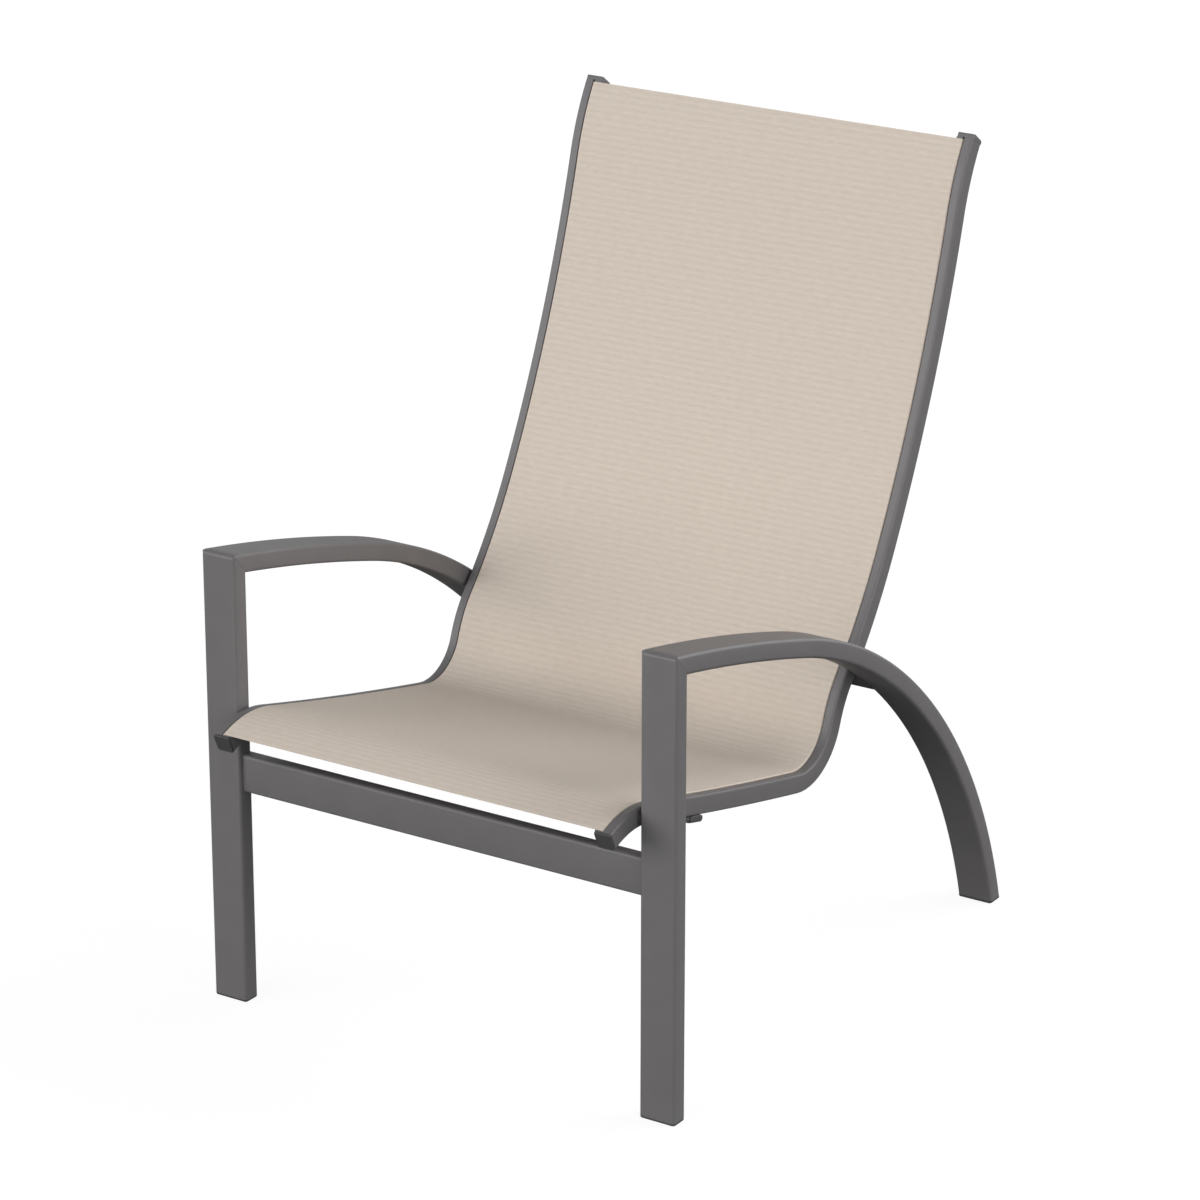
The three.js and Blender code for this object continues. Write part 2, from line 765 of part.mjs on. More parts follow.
// Screws and bolts, turned about their own axes
function headedPin(headRadius, headHeight, shankRadius, length) {
  const crown = headHeight / 3;
  const profile = [
    new THREE.Vector2(0, -length),
    new THREE.Vector2(shankRadius, -length),
    new THREE.Vector2(shankRadius, 0),
    new THREE.Vector2(headRadius, 0),
    new THREE.Vector2(headRadius, headHeight - crown * 2),
    new THREE.Vector2(headRadius - crown, headHeight),
    new THREE.Vector2(0, headHeight),
  ];
  const pin = new THREE.LatheGeometry(profile, pinSides);
  const socket = new THREE.CylinderGeometry(hexSocketRadius, hexSocketRadius, 2 * hexSocketDepth, 6);
  socket.translate(0, headHeight, 0);
  return cut(pin, [socket]);
}

// A turned part along y goes along the frame's z, or across the chair from the side it enters
function alongAway(geometry, direction, x, lift, frame) {
  const turned = new THREE.Matrix4().makeRotationX((direction * Math.PI) / 2);
  return geometry.applyMatrix4(turned).translate(x, 0, lift).applyMatrix4(frame);
}

function alongAcross(geometry, direction, x, frame) {
  const turned = new THREE.Matrix4().makeRotationZ((direction * Math.PI) / 2);
  return geometry.applyMatrix4(turned).translate(x, 0, 0).applyMatrix4(frame);
}

addPiece('seat_spreader_bar', seatSpreader(), 'frame');
for (const { word, sign } of sides) {
  addPiece(`seat_spreader_plug_${word}`, spreaderPlug(sign), 'plastic');
}
const seatScrewLength = spreaderThickness + 2 * seatGap + railWall + screwReach;
for (const { word, sign } of sides) {
  const screw = headedPin(screwHeadRadius, screwHeadHeight, screwRadius, seatScrewLength);
  const screwFrom = -spreaderThickness / 2 - seatGap;
  addPiece(
    `seat_spreader_screw_${word}`,
    alongAway(screw, -1, sign * screwLine, screwFrom, seatSpreaderFrame),
    'steel',
  );
}

// Back spreader: its ends stand in sockets on the rails' inner faces
const backBarWidth = spreaderWidth - 2 * socketWall;
const backBarThickness = spreaderThickness;
const backSpan = 2 * (railInner - socketDepth - weldGap);
const backTail = socketDepth - socketBase - seatGap;

function backSpreader() {
  return bowedTube(backBarWidth, backBarThickness, backSpan, backTail, backSpreaderFrame);
}

function backSocket(sign) {
  const width = backBarWidth + 2 * (socketWall + seatGap);
  const height = backBarThickness + 2 * (socketWall + seatGap);
  const outline = barShape(width, height, height / 3);
  const bore = barShape(backBarWidth + 2 * seatGap, backBarThickness + 2 * seatGap, backBarThickness / 2 - seatGap);
  const face = railInner - seatGap;
  const bodyEnds = [face - socketDepth, face].map((x) => x * sign).sort((a, b) => a - b);
  const boreEnds = [face - socketDepth - overrun, face - socketBase].map((x) => x * sign).sort((a, b) => a - b);
  const cup = across(outline, ...bodyEnds, backSpreaderFrame);
  const hole = pinAcross(screwHoleRadius, face - socketDepth, face + overrun, backSpreaderFrame, sign);
  return cut(cup, [across(bore, ...boreEnds, backSpreaderFrame), hole]);
}

// A screw's head lies on the socket's floor, inside the open end of the bar
function backScrew(sign) {
  const length = seatGap + socketBase + seatGap + railWall + backScrewReach;
  const screw = headedPin(backScrewHeadRadius, screwHeadHeight, screwRadius, length);
  return alongAcross(screw, sign, sign * (railInner - seatGap - socketBase - seatGap), backSpreaderFrame);
}

addPiece('back_spreader_bar', backSpreader(), 'frame');
for (const { word, sign } of sides) {
  addPiece(`back_spreader_socket_${word}`, backSocket(sign), 'plastic');
  addPiece(`back_spreader_screw_${word}`, backScrew(sign), 'steel');
}

// Rail bolts go outward through the rail and a spacer into an insert in the leg or the arm
const boltHeadPlace = railInner - seatGap;
const boltLength = railWidth + railGapToLeg + boltReach;

function railBolt(sign, frame) {
  const bolt = headedPin(boltHeadRadius, boltHeadHeight, boltRadius, boltLength);
  return alongAcross(bolt, sign, sign * boltHeadPlace, frame);
}

function ring(outer, inner, from, to, frame, sign) {
  const shape = circlePath(new THREE.Shape(), 0, 0, outer, 14);
  shape.holes.push(circlePath(new THREE.Path(), 0, 0, inner, 10));
  const ends = [from * sign, to * sign].sort((a, b) => a - b);
  return across(shape, ...ends, frame);
}

function spacer(sign, frame) {
  return ring(spacerRadius, boltHoleRadius, railOuter + seatGap, innerFace - 2 * seatGap - insertFlange, frame, sign);
}

function threadedInsert(sign, frame) {
  const flangeFrom = innerFace - seatGap - insertFlange;
  const flange = ring(insertFlangeRadius, boltHoleRadius, flangeFrom, flangeFrom + insertFlange, frame, sign);
  const barrelRadius = insertRadius - insertClearance;
  return join([flange, ring(barrelRadius, boltHoleRadius, flangeFrom, flangeFrom + insertLength, frame, sign)]);
}

for (const [place, frame] of Object.entries(boltFrames)) {
  for (const { word, sign } of sides) {
    addPiece(`rail_bolt_${place}_${word}`, railBolt(sign, frame), 'steel');
    addPiece(`rail_spacer_${place}_${word}`, spacer(sign, frame), 'plastic');
    addPiece(`threaded_insert_${place}_${word}`, threadedInsert(sign, frame), 'steel');
  }
}

// The origin is on the floor, under the middle of the chair
const extent = new THREE.Box3().setFromObject(chair);
chair.position.y = -(extent.min.y + extent.max.y) / 2;
chair.updateMatrixWorld(true);

export default chair;
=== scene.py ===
"""A high-back sling patio chair: bent tube side frames, two grooved sling rails and a strained mesh sling.

Metres, +X to the sitter's left, +Y from the front to the back, +Z up.
"""

import math

import bmesh
import bpy
from mathutils import Matrix, Vector


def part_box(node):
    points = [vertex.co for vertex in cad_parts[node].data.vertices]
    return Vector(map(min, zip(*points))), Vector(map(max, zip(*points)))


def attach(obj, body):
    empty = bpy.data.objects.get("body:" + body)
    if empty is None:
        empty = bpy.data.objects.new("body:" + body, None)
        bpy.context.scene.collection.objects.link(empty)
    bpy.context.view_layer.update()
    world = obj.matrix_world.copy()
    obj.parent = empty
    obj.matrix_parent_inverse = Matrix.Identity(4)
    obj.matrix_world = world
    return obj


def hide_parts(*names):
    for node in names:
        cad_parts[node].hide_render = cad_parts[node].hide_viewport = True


bl_info = {
    "name": "Sling patio chair",
    "version": (1, 0, 0),
    "blender": (4, 5, 0),
    "location": "3D View > Sidebar > Chair",
    "description": "Models a high-back sling patio chair, its finishes and a plain studio",
    "category": "Object",
}

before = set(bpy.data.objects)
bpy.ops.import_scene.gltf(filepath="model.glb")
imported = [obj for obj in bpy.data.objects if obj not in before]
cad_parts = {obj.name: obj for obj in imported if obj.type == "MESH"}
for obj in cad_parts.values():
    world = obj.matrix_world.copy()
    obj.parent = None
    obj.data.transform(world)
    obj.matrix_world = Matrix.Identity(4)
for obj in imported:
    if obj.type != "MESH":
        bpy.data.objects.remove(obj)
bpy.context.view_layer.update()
ROOT = "root"
ACROSS = Vector((1, 0, 0))


def mm(value):
    """Millimetres in metres."""
    return value / 1000


def srgb(text):
    """An sRGB hex colour as the linear values that a shader takes."""
    parts = [int(text[i : i + 2], 16) / 255 for i in (0, 2, 4)]
    return tuple(c / 12.92 if c <= 0.04045 else ((c + 0.055) / 1.055) ** 2.4 for c in parts)


def direction(heading):
    """The unit vector of a heading in the chair's side plane."""
    return Vector((0, math.cos(heading), math.sin(heading)))


def square_to(heading):
    """The unit vector a quarter turn up from a heading."""
    return Vector((0, -math.sin(heading), math.cos(heading)))


# Sizes and colours


def length_property(name, description, default):
    """A length in a property group."""
    return bpy.props.FloatProperty(
        name=name, description=description, default=default, unit="LENGTH", precision=4)


def colour_property(name, description, text):
    """A colour in a property group, given as sRGB hex."""
    return bpy.props.FloatVectorProperty(
        name=name, description=description, default=srgb(text), size=3, subtype="COLOR", min=0, max=1)


class SlingChairSizes(bpy.types.PropertyGroup):
    """Sizes of the chair's tubes, rails and cloth."""

    tube_corner: length_property("Tube corner", "Radius of the arm and leg tube's long edges", mm(4.5))
    mitre_round: length_property(
        "Mitre round", "Radius that the welded corner of leg and arm is ground to", mm(6.5))
    crossbar_corner: length_property("Crossbar corner", "Radius of the crossbars' long edges", mm(4))
    rail_corner: length_property("Rail corner", "Radius of the sling rail's outer edges", mm(3))
    slot_width: length_property("Slot width", "Width of the spline groove's mouth", mm(2.4))
    slot_depth: length_property("Slot depth", "How deep the spline groove's mouth is drawn", mm(5))
    lip_round: length_property(
        "Lip round", "Radius of the groove's inner lip, which the sling goes over", mm(1.2))
    cloth_thickness: length_property("Cloth thickness", "Thickness of the sling", mm(0.9))
    bend_step: length_property("Bend step", "Length of one step along the bent pieces", mm(7))
    spreader_bow: length_property(
        "Spreader bow", "How far the spreader bars bow away from the sitter", mm(26))


class SlingChairFinish(bpy.types.PropertyGroup):
    """Colours and pattern sizes of the chair's finishes."""

    frame_colour: colour_property("Frame colour", "Powder coat of the frame", "6A6869")
    # The sling's two colours are the ends of its uneven slub tone, and also its painted highlight on the
    # raised yarns and painted shade between them
    cloth_pale_and_highlight: colour_property("Cloth, raised yarn", "Sling colour on the raised yarns", "D9CEC2")
    cloth_dark_and_shade: colour_property("Cloth, sunk yarn", "Sling colour between the yarns", "C4B7AA")
    plastic_colour: colour_property("Plastic colour", "Moulded caps, plugs and glides", "474647")
    steel_colour: colour_property("Fastener colour", "Zinc-plated bolts and screws", "B9BABD")
    spline_colour: colour_property("Spline colour", "Extruded spline rods", "B9B4AD")
    floor_colour: colour_property("Floor colour", "Studio floor", "F2F2F2")
    rib_pitch: length_property("Rib pitch", "Spacing of the sling's cross ribs", mm(8.8))
    yarn_pitch: length_property("Yarn pitch", "Spacing of the sling's yarns as drawn", mm(2.4))


def sizes():
    """The sizes in use."""
    return bpy.context.scene.sling_chair_sizes


def finish():
    """The finishes in use."""
    return bpy.context.scene.sling_chair_finish


# Gaps between pieces: at a weld, between pieces that are screwed or plugged, and between small loose ones
WELD_GAP = mm(0.12)
GAP = mm(0.3)
SMALL_GAP = mm(0.2)

# Tolerances: a length that counts as none, points that are merged, and points that count as in one place
NEGLIGIBLE = 1e-6
MERGE = mm(0.005)
MITRE_MERGE = mm(0.08)
NEAR = mm(0.1)

# A piece is drawn this far past the plane that cuts it, and a cutter stands this far out of the piece
SPARE = mm(10)
LEAD = mm(2)

# The tube's section and its place in the left side frame. The photograph shows it 2 x 1 in,
# a little wider than its solid.
LEG_LOW, LEG_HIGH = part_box("front_leg_left")
FRONT_FACE = LEG_LOW.y
TUBE_WIDTH = mm(50.8)
TUBE_DEPTH = LEG_HIGH.y - LEG_LOW.y
TUBE_CENTRE = (LEG_HIGH.x + LEG_LOW.x) / 2
TUBE_INNER = TUBE_CENTRE - TUBE_WIDTH / 2

# The arm's slope at its front corner and its bends, each a radius and a turn in degrees
ARM_SLOPE = -10.25
ARM_BENDS = ((mm(2880), -6.19), (mm(747), -60.6))
ARM_HALF_DEPTH = mm(12.7)
# The corner of leg and arm lies a little over the leg's solid, which stops at the mitre
CORNER_Z = LEG_HIGH.z + mm(0.2)
REAR_CROSSBAR_PLACE = mm(584.6)

# The sling's front edge, its slope there and its bends up to the top of the back
SLING_Y = FRONT_FACE - mm(54.6)
SLING_Z = mm(394.1)
SLING_SLOPE = 24.2
SLING_BENDS = (
    (mm(141.7), -38.88), (mm(7305), 2.77), (mm(63.7), 82.95), (mm(167.2), -22.43),
    (mm(752), 13.15), (mm(1925), 12.95), (mm(361), -15.6),
)


# Side paths


class SidePath:
    """A path in the chair's side plane, made of arcs that leave each other without a kink."""

    def __init__(self, y, z, slope, bends):
        self.bends = []
        heading = math.radians(slope)
        distance = 0.0
        for radius, degrees in bends:
            turn = math.radians(degrees)
            side = math.copysign(1, turn)
            length = radius * abs(turn)
            centre = Vector((
                0, y - side * radius * math.sin(heading), z + side * radius * math.cos(heading)))
            self.bends.append((distance, length, heading, turn, centre, side * radius))
            heading += turn
            y = centre.y + side * radius * math.sin(heading)
            z = centre.z - side * radius * math.cos(heading)
            distance += length
        self.length = distance
        self.end_heading = heading

    def at(self, distance):
        """The point and heading at a distance, on the straight tangent past either end."""
        start, length, heading, _turn, centre, radius = self.bends[0]
        for bend in self.bends:
            if bend[0] <= distance:
                start, length, heading, _turn, centre, radius = bend
        inside = min(max(distance - start, 0.0), length)
        heading += inside / radius
        point = centre + radius * Vector((0, math.sin(heading), -math.cos(heading)))
        past = distance - start - inside
        return point + past * direction(heading), heading

    def across(self, distance, lift=0.0):
        """A frame across the path: x over the chair, y away from the path's face, z back along it."""
        point, heading = self.at(distance)
        away = square_to(heading)
        turn = Matrix((ACROSS, away, -direction(heading))).transposed()
        return Matrix.Translation(point + lift * away) @ turn.to_4x4()

    def seated(self, distance, lift=0.0):
        """The same frame with z away from the path's face and y along it."""
        return self.across(distance, lift) @ Matrix.Rotation(-math.pi / 2, 4, "X")

    def sweep(self, start, end, step):
        """Carries the selected faces along the path between two distances."""
        for begin, length, _heading, turn, centre, _radius in self.bends:
            low, high = max(start, begin), min(end, begin + length)
            if high - low > NEGLIGIBLE:
                share = (high - low) / length
                steps = max(2, round((high - low) / step))
                # Without a window the spin operator turns clockwise about its axis
                bpy.ops.mesh.spin(steps=steps, angle=-turn * share, center=centre, axis=ACROSS)


# The arm's centre line starts over the front face and runs down to the rear foot
ARM = SidePath(
    FRONT_FACE, CORNER_Z - ARM_HALF_DEPTH / math.cos(math.radians(ARM_SLOPE)), ARM_SLOPE, ARM_BENDS)

# The top face of the cloth, from the front of the seat to the top of the back
SLING = SidePath(SLING_Y, SLING_Z, SLING_SLOPE, SLING_BENDS)

# The mitre's plane halves the corner between the leg and the arm
MITRE_TILT = (math.radians(ARM_SLOPE) - math.pi / 2) / 2
MITRE_POINT = Vector((0, FRONT_FACE, CORNER_Z))
MITRE_AWAY = square_to(MITRE_TILT)

# The rail's section, from the chair's middle outwards and from the cloth's top face down
RAIL_LOW, RAIL_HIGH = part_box("sling_rail_left")
RAIL_INNER = RAIL_LOW.x
RAIL_OUTER = RAIL_HIGH.x
RAIL_CENTRE = (RAIL_INNER + RAIL_OUTER) / 2
RAIL_WIDTH = RAIL_OUTER - RAIL_INNER
RAIL_TOP = -mm(1.2)
# The photograph shows the rail an inch deep, a little deeper than its solid
RAIL_DEPTH = mm(25.4)
SLOT_CENTRE = RAIL_INNER + mm(10.7)
OUTER_LIP_ROUND = mm(0.6)
# Where the rail begins and ends along the sling's path
RAIL_FRONT = -mm(1.4)
RAIL_END = SLING.length + mm(3)

# Turns of a place: z to the sitter's left, and a section that faces left with its width along the path
OUTWARD = Matrix.Rotation(math.pi / 2, 4, "Y")
SIDEWAYS = Matrix.Rotation(math.pi / 2, 4, "Z") @ Matrix.Rotation(math.pi / 2, 4, "X")


# Modelling by hand


def deselect():
    """Back to object mode with nothing selected."""
    if bpy.context.mode != "OBJECT":
        bpy.ops.object.mode_set(mode="OBJECT")
    bpy.ops.object.select_all(action="DESELECT")


def activate(*pieces):
    """Object mode with only these pieces selected and the last of them active."""
    deselect()
    for piece in pieces:
        piece.select_set(True)
    bpy.context.view_layer.objects.active = pieces[-1]


def everything(kind="FACE"):
    """Selects the whole mesh in edit mode."""
    bpy.ops.mesh.select_mode(type=kind)
    bpy.ops.mesh.select_all(action="SELECT")


def edit():
    """Edit mode with every face selected."""
    bpy.ops.object.mode_set(mode="EDIT")
    everything()


def placed(place):
    """Places the object just added, and goes on in edit mode."""
    piece = bpy.context.object
    piece.matrix_world = place
    bpy.ops.object.transform_apply(location=True, rotation=True, scale=True)
    edit()
    return piece


def pick(kind, test):
    """Selects what passes a test of a vertex's place, or of an edge's or face's middle and direction."""
    bpy.ops.mesh.select_mode(type=kind)
    bpy.ops.mesh.select_all(action="DESELECT")
    mesh = bmesh.from_edit_mesh(bpy.context.object.data)
    if kind == "VERT":
        for vertex in mesh.verts:
            vertex.select = test(vertex.co)
    elif kind == "EDGE":
        for edge in mesh.edges:
            ends = [vertex.co for vertex in edge.verts]
            edge.select = test((ends[0] + ends[1]) / 2, (ends[1] - ends[0]).normalized())
    else:
        mesh.normal_update()
        for face in mesh.faces:
            face.select = test(face.calc_center_median(), face.normal)
    mesh.select_flush_mode()
    bmesh.update_edit_mesh(bpy.context.object.data)


def pick_facing(way):
    """Selects the faces that look a given way, within about 25 degrees."""
    pick("FACE", lambda _middle, normal: normal.dot(way) > 0.9)


def bevel(offset, segments=3, affect="EDGES"):
    """Bevels the selection."""
    bpy.ops.mesh.bevel(affect=affect, offset=offset, segments=segments, profile=0.5, clamp_overlap=True)


def bevel_rim(way, offset, segments=3):
    """Bevels the rim of the end that looks a given way."""
    pick_facing(way)
    bpy.ops.mesh.select_mode(type="EDGE")
    bpy.ops.mesh.region_to_loop()
    bevel(offset, segments)


def straight(vector):
    """Extrudes the selection along a vector."""
    bpy.ops.mesh.extrude_region_move(TRANSFORM_OT_translate={"value": vector})


def rectangle(place, width, depth):
    """A flat rectangle, left in edit mode with its face selected."""
    deselect()
    bpy.ops.mesh.primitive_plane_add(size=1)
    return placed(place @ Matrix.Diagonal((width, depth, 1, 1)))


def plate(place, width, depth, corner, segments=5):
    """A flat rectangle with round corners, left in edit mode with its face selected."""
    piece = rectangle(place, width, depth)
    everything("VERT")
    bevel(corner, segments, "VERTICES")
    everything()
    return piece


def rod(place, radius, length, sides=32):
    """A round bar from the place's origin along its z, left in edit mode."""
    deselect()
    bpy.ops.mesh.primitive_cylinder_add(vertices=sides, radius=radius, depth=length)
    return placed(place @ Matrix.Translation((0, 0, length / 2)))


def cut_away(point, normal, fill=True):
    """Cuts the whole mesh at a plane and clears what lies on the normal's side."""
    bpy.ops.mesh.select_all(action="SELECT")
    bpy.ops.mesh.bisect(plane_co=point, plane_no=normal, use_fill=fill, clear_outer=True)


def subtract(piece, cutter):
    """Cuts one piece out of another and removes it."""
    activate(piece)
    modifier = piece.modifiers.new("cut", "BOOLEAN")
    modifier.operation = "DIFFERENCE"
    modifier.solver = "EXACT"
    modifier.object = cutter
    bpy.ops.object.modifier_apply(modifier=modifier.name)
    bpy.data.objects.remove(cutter)
    return piece


def join(piece, other):
    """Joins another piece into one, which stays active."""
    activate(other, piece)
    bpy.ops.object.join()
    return piece


def tidy(piece, smooth=35):
    """Closes a piece's modelling: normals outwards, and smooth shading up to an angle."""
    activate(piece)
    edit()
    bpy.ops.mesh.remove_doubles(threshold=MERGE)
    bpy.ops.mesh.normals_make_consistent(inside=False)
    bpy.ops.object.mode_set(mode="OBJECT")
    bpy.ops.object.shade_smooth_by_angle(angle=math.radians(smooth))
    return piece


def soften(piece, width, segments=3, angle=35):
    """Rounds a piece's sharp edges with an applied bevel."""
    activate(piece)
    modifier = piece.modifiers.new("edges", "BEVEL")
    modifier.width = width
    modifier.segments = segments
    modifier.limit_method = "ANGLE"
    modifier.angle_limit = math.radians(angle)
    bpy.ops.object.modifier_apply(modifier=modifier.name)
    return piece


def copy_of(piece):
    """A copy with its own mesh."""
    twin = piece.copy()
    twin.data = piece.data.copy()
    bpy.context.scene.collection.objects.link(twin)
    return twin


def dress(piece, material, node):
    """Gives a piece its name and material, and ties it to the solid that it stands for."""
    deselect()
    piece.name = f"{node}_finished"
    piece.data.materials.clear()
    piece.data.materials.append(material)
    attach(piece, ROOT)
    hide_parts(node)


def both_sides(piece, material, stem):
    """Dresses a piece of the sitter's left, and its mirrored twin on the right."""
    twin = copy_of(piece)
    twin.data.transform(Matrix.Scale(-1, 4, ACROSS))
    twin.data.flip_normals()
    dress(piece, material, f"{stem}_left")
    dress(twin, material, f"{stem}_right")


# Materials


def add_node(tree_owner, kind, settings=None):
    """Adds a node. Each setting is a property, an input's value, or an output to link to an input."""
    node = tree_owner.node_tree.nodes.new(kind)
    for key, value in (settings or {}).items():
        if isinstance(value, bpy.types.NodeSocket):
            tree_owner.node_tree.links.new(value, node.inputs[key])
        elif isinstance(key, int) or key in node.inputs:
            node.inputs[key].default_value = value
        else:
            setattr(node, key, value)
    return node


def new_material(name):
    """A material and whether it is new, and so still without any node."""
    material = bpy.data.materials.get(name)
    if material:
        return material, False
    material = bpy.data.materials.new(name)
    material.use_nodes = True
    material.node_tree.nodes.clear()
    return material, True


def show(material, shader):
    """Links a shader to a material's output."""
    add_node(material, "ShaderNodeOutputMaterial", {"Surface": shader.outputs[0]})
    return material


def shade_of(colour, factor=1):
    """A colour made lighter or darker, with alpha."""
    return tuple(min(1.0, c * factor) for c in colour) + (1.0,)


def grained(name, base, grain, cloud, detail, roughness, spread, relief, ior):
    """A coat or moulding: a fine grain in its gloss and surface, a wide and faint cloud in its colour."""
    material, is_new = new_material(name)
    if not is_new:
        return material
    place = add_node(material, "ShaderNodeTexCoord").outputs["Object"]
    fine = add_node(
        material, "ShaderNodeTexNoise",
        {"Scale": 1 / grain, "Detail": 2.0, "Vector": place}).outputs["Fac"]
    wide = add_node(
        material, "ShaderNodeTexNoise",
        {"Scale": 1 / cloud, "Detail": detail, "Vector": place}).outputs["Fac"]
    colour = add_node(
        material, "ShaderNodeMix",
        {"data_type": "RGBA", 0: wide, 6: shade_of(base, 0.92), 7: shade_of(base, 1.08)})
    rough = add_node(
        material, "ShaderNodeMapRange",
        {"To Min": roughness - spread, "To Max": roughness + spread, "Value": fine})
    bump = add_node(
        material, "ShaderNodeBump", {"Strength": relief, "Distance": mm(0.05), "Height": fine})
    shader = add_node(
        material, "ShaderNodeBsdfPrincipled",
        {
            "IOR": ior, "Base Color": colour.outputs[2], "Roughness": rough.outputs["Result"],
            "Normal": bump.outputs["Normal"],
        })
    return show(material, shader)


def powder_coated_aluminium():
    """Sprayed polyester powder, baked: satin, with 1.5 mm orange peel and a very slight, wide mottle."""
    return grained(
        "powder_coated_aluminium", finish().frame_colour, grain=mm(1.5), cloud=mm(35), detail=3.0,
        roughness=0.49, spread=0.05, relief=0.25, ior=1.5)


def moulded_plastic(name, base, roughness, grain):
    """A moulded or extruded plastic with the fine grain of its tool."""
    return grained(
        name, base, grain=grain, cloud=mm(12), detail=2.0,
        roughness=roughness, spread=0.06, relief=0.3, ior=1.53)


def moulded_nylon():
    """Glass-filled nylon, injection moulded: dark grey and matt, with a 0.8 mm spark grain."""
    return moulded_plastic("moulded_nylon", finish().plastic_colour, 0.6, mm(0.8))


def tinted_nylon():
    """Nylon pigmented to the colour of the frame's powder coat: a smoother, satin moulding."""
    return moulded_plastic("tinted_nylon", finish().frame_colour, 0.5, mm(1.2))


def extruded_vinyl():
    """Rigid vinyl rod, extruded: smooth with a dull gloss."""
    return moulded_plastic("extruded_vinyl", finish().spline_colour, 0.45, mm(2))


# The sling's slubs, along and across the yarn, and how much its cross ribs, its weave and its slubs
# weigh in its colour and in its surface. In the colour the ribs and the weave are painted highlight and
# painted shade, and the slubs are the yarn's own uneven tone
SLUB_SIZE = (mm(14), mm(3))
PAINTED_SHADE_AND_SLUB_WEIGHTS = (0.12, 0.2, 1.0)
SURFACE_WEIGHTS = (0.3, 0.5, 0.5)


def woven_sling():
    """Vinyl-coated polyester yarn in a plain weave: matt, with raised cross ribs and short slubs; its
    colour has painted highlight on the raised yarns and painted shade between them.
    """
    material, is_new = new_material("woven_vinyl_coated_polyester")
    if not is_new:
        return material
    # The cloth's own map: u across the chair and v along the sling, both in metres
    cloth = add_node(material, "ShaderNodeUVMap", {"uv_map": "cloth"}).outputs["UV"]
    split = add_node(material, "ShaderNodeSeparateXYZ", {"Vector": cloth})

    def calculate(operation, first, second=0.0):
        settings = {"operation": operation, 0: first, 1: second}
        return add_node(material, "ShaderNodeMath", settings).outputs[0]

    def wave(axis, pitch):
        return calculate("SINE", calculate("MULTIPLY", split.outputs[axis], 2 * math.pi / pitch))

    rib = wave("Y", finish().rib_pitch)
    # The real yarn is under 1 mm thick: it is drawn wider apart, so that it still shows in a picture
    weave = calculate("MULTIPLY", wave("X", finish().yarn_pitch), wave("Y", finish().yarn_pitch))
    stretched = add_node(
        material, "ShaderNodeVectorMath",
        {"operation": "MULTIPLY", 0: cloth, 1: (1 / SLUB_SIZE[0], 1 / SLUB_SIZE[1], 1)})
    slub = add_node(
        material, "ShaderNodeTexNoise",
        {"Scale": 1.0, "Detail": 3.0, "Roughness": 0.6, "Vector": stretched.outputs[0]})

    def weighed(weights):
        parts = [
            calculate("MULTIPLY", part, weight)
            for part, weight in zip((rib, weave, slub.outputs["Fac"]), weights)]
        return calculate("ADD", calculate("ADD", parts[0], parts[1]), parts[2])

    # The colour mixes the yarn's own slub tone with painted highlight on the ribs and raised yarns and
    # painted shade between them
    colour = add_node(
        material, "ShaderNodeMix",
        {
            "data_type": "RGBA", 0: weighed(PAINTED_SHADE_AND_SLUB_WEIGHTS),
            6: shade_of(finish().cloth_dark_and_shade), 7: shade_of(finish().cloth_pale_and_highlight),
        })
    bump = add_node(
        material, "ShaderNodeBump",
        {"Strength": 0.3, "Distance": mm(0.3), "Height": weighed(SURFACE_WEIGHTS)})
    shader = add_node(
        material, "ShaderNodeBsdfPrincipled",
        {
            "IOR": 1.5, "Roughness": 0.78, "Specular IOR Level": 0.35, "Sheen Weight": 0.08,
            "Sheen Roughness": 0.5, "Base Color": colour.outputs[2], "Normal": bump.outputs["Normal"],
        })
    return show(material, shader)


def zinc_plated_steel():
    """Cold-headed steel with bright zinc: a cool silver with a faint 2 mm cloud in its gloss."""
    material, is_new = new_material("zinc_plated_steel")
    if not is_new:
        return material
    place = add_node(material, "ShaderNodeTexCoord").outputs["Object"]
    cloud = add_node(
        material, "ShaderNodeTexNoise",
        {"Scale": 1 / mm(2), "Detail": 2.0, "Vector": place}).outputs["Fac"]
    rough = add_node(
        material, "ShaderNodeMapRange", {"To Min": 0.26, "To Max": 0.42, "Value": cloud})
    bump = add_node(
        material, "ShaderNodeBump", {"Strength": 0.15, "Distance": mm(0.02), "Height": cloud})
    shader = add_node(
        material, "ShaderNodeBsdfPrincipled",
        {
            "Base Color": shade_of(finish().steel_colour), "Metallic": 1.0,
            "Roughness": rough.outputs["Result"], "Normal": bump.outputs["Normal"],
        })
    return show(material, shader)


# Operators


class SlingChairOperator(bpy.types.Operator):
    """Shared base of the chair's operators"""

    bl_options = {"REGISTER", "UNDO"}


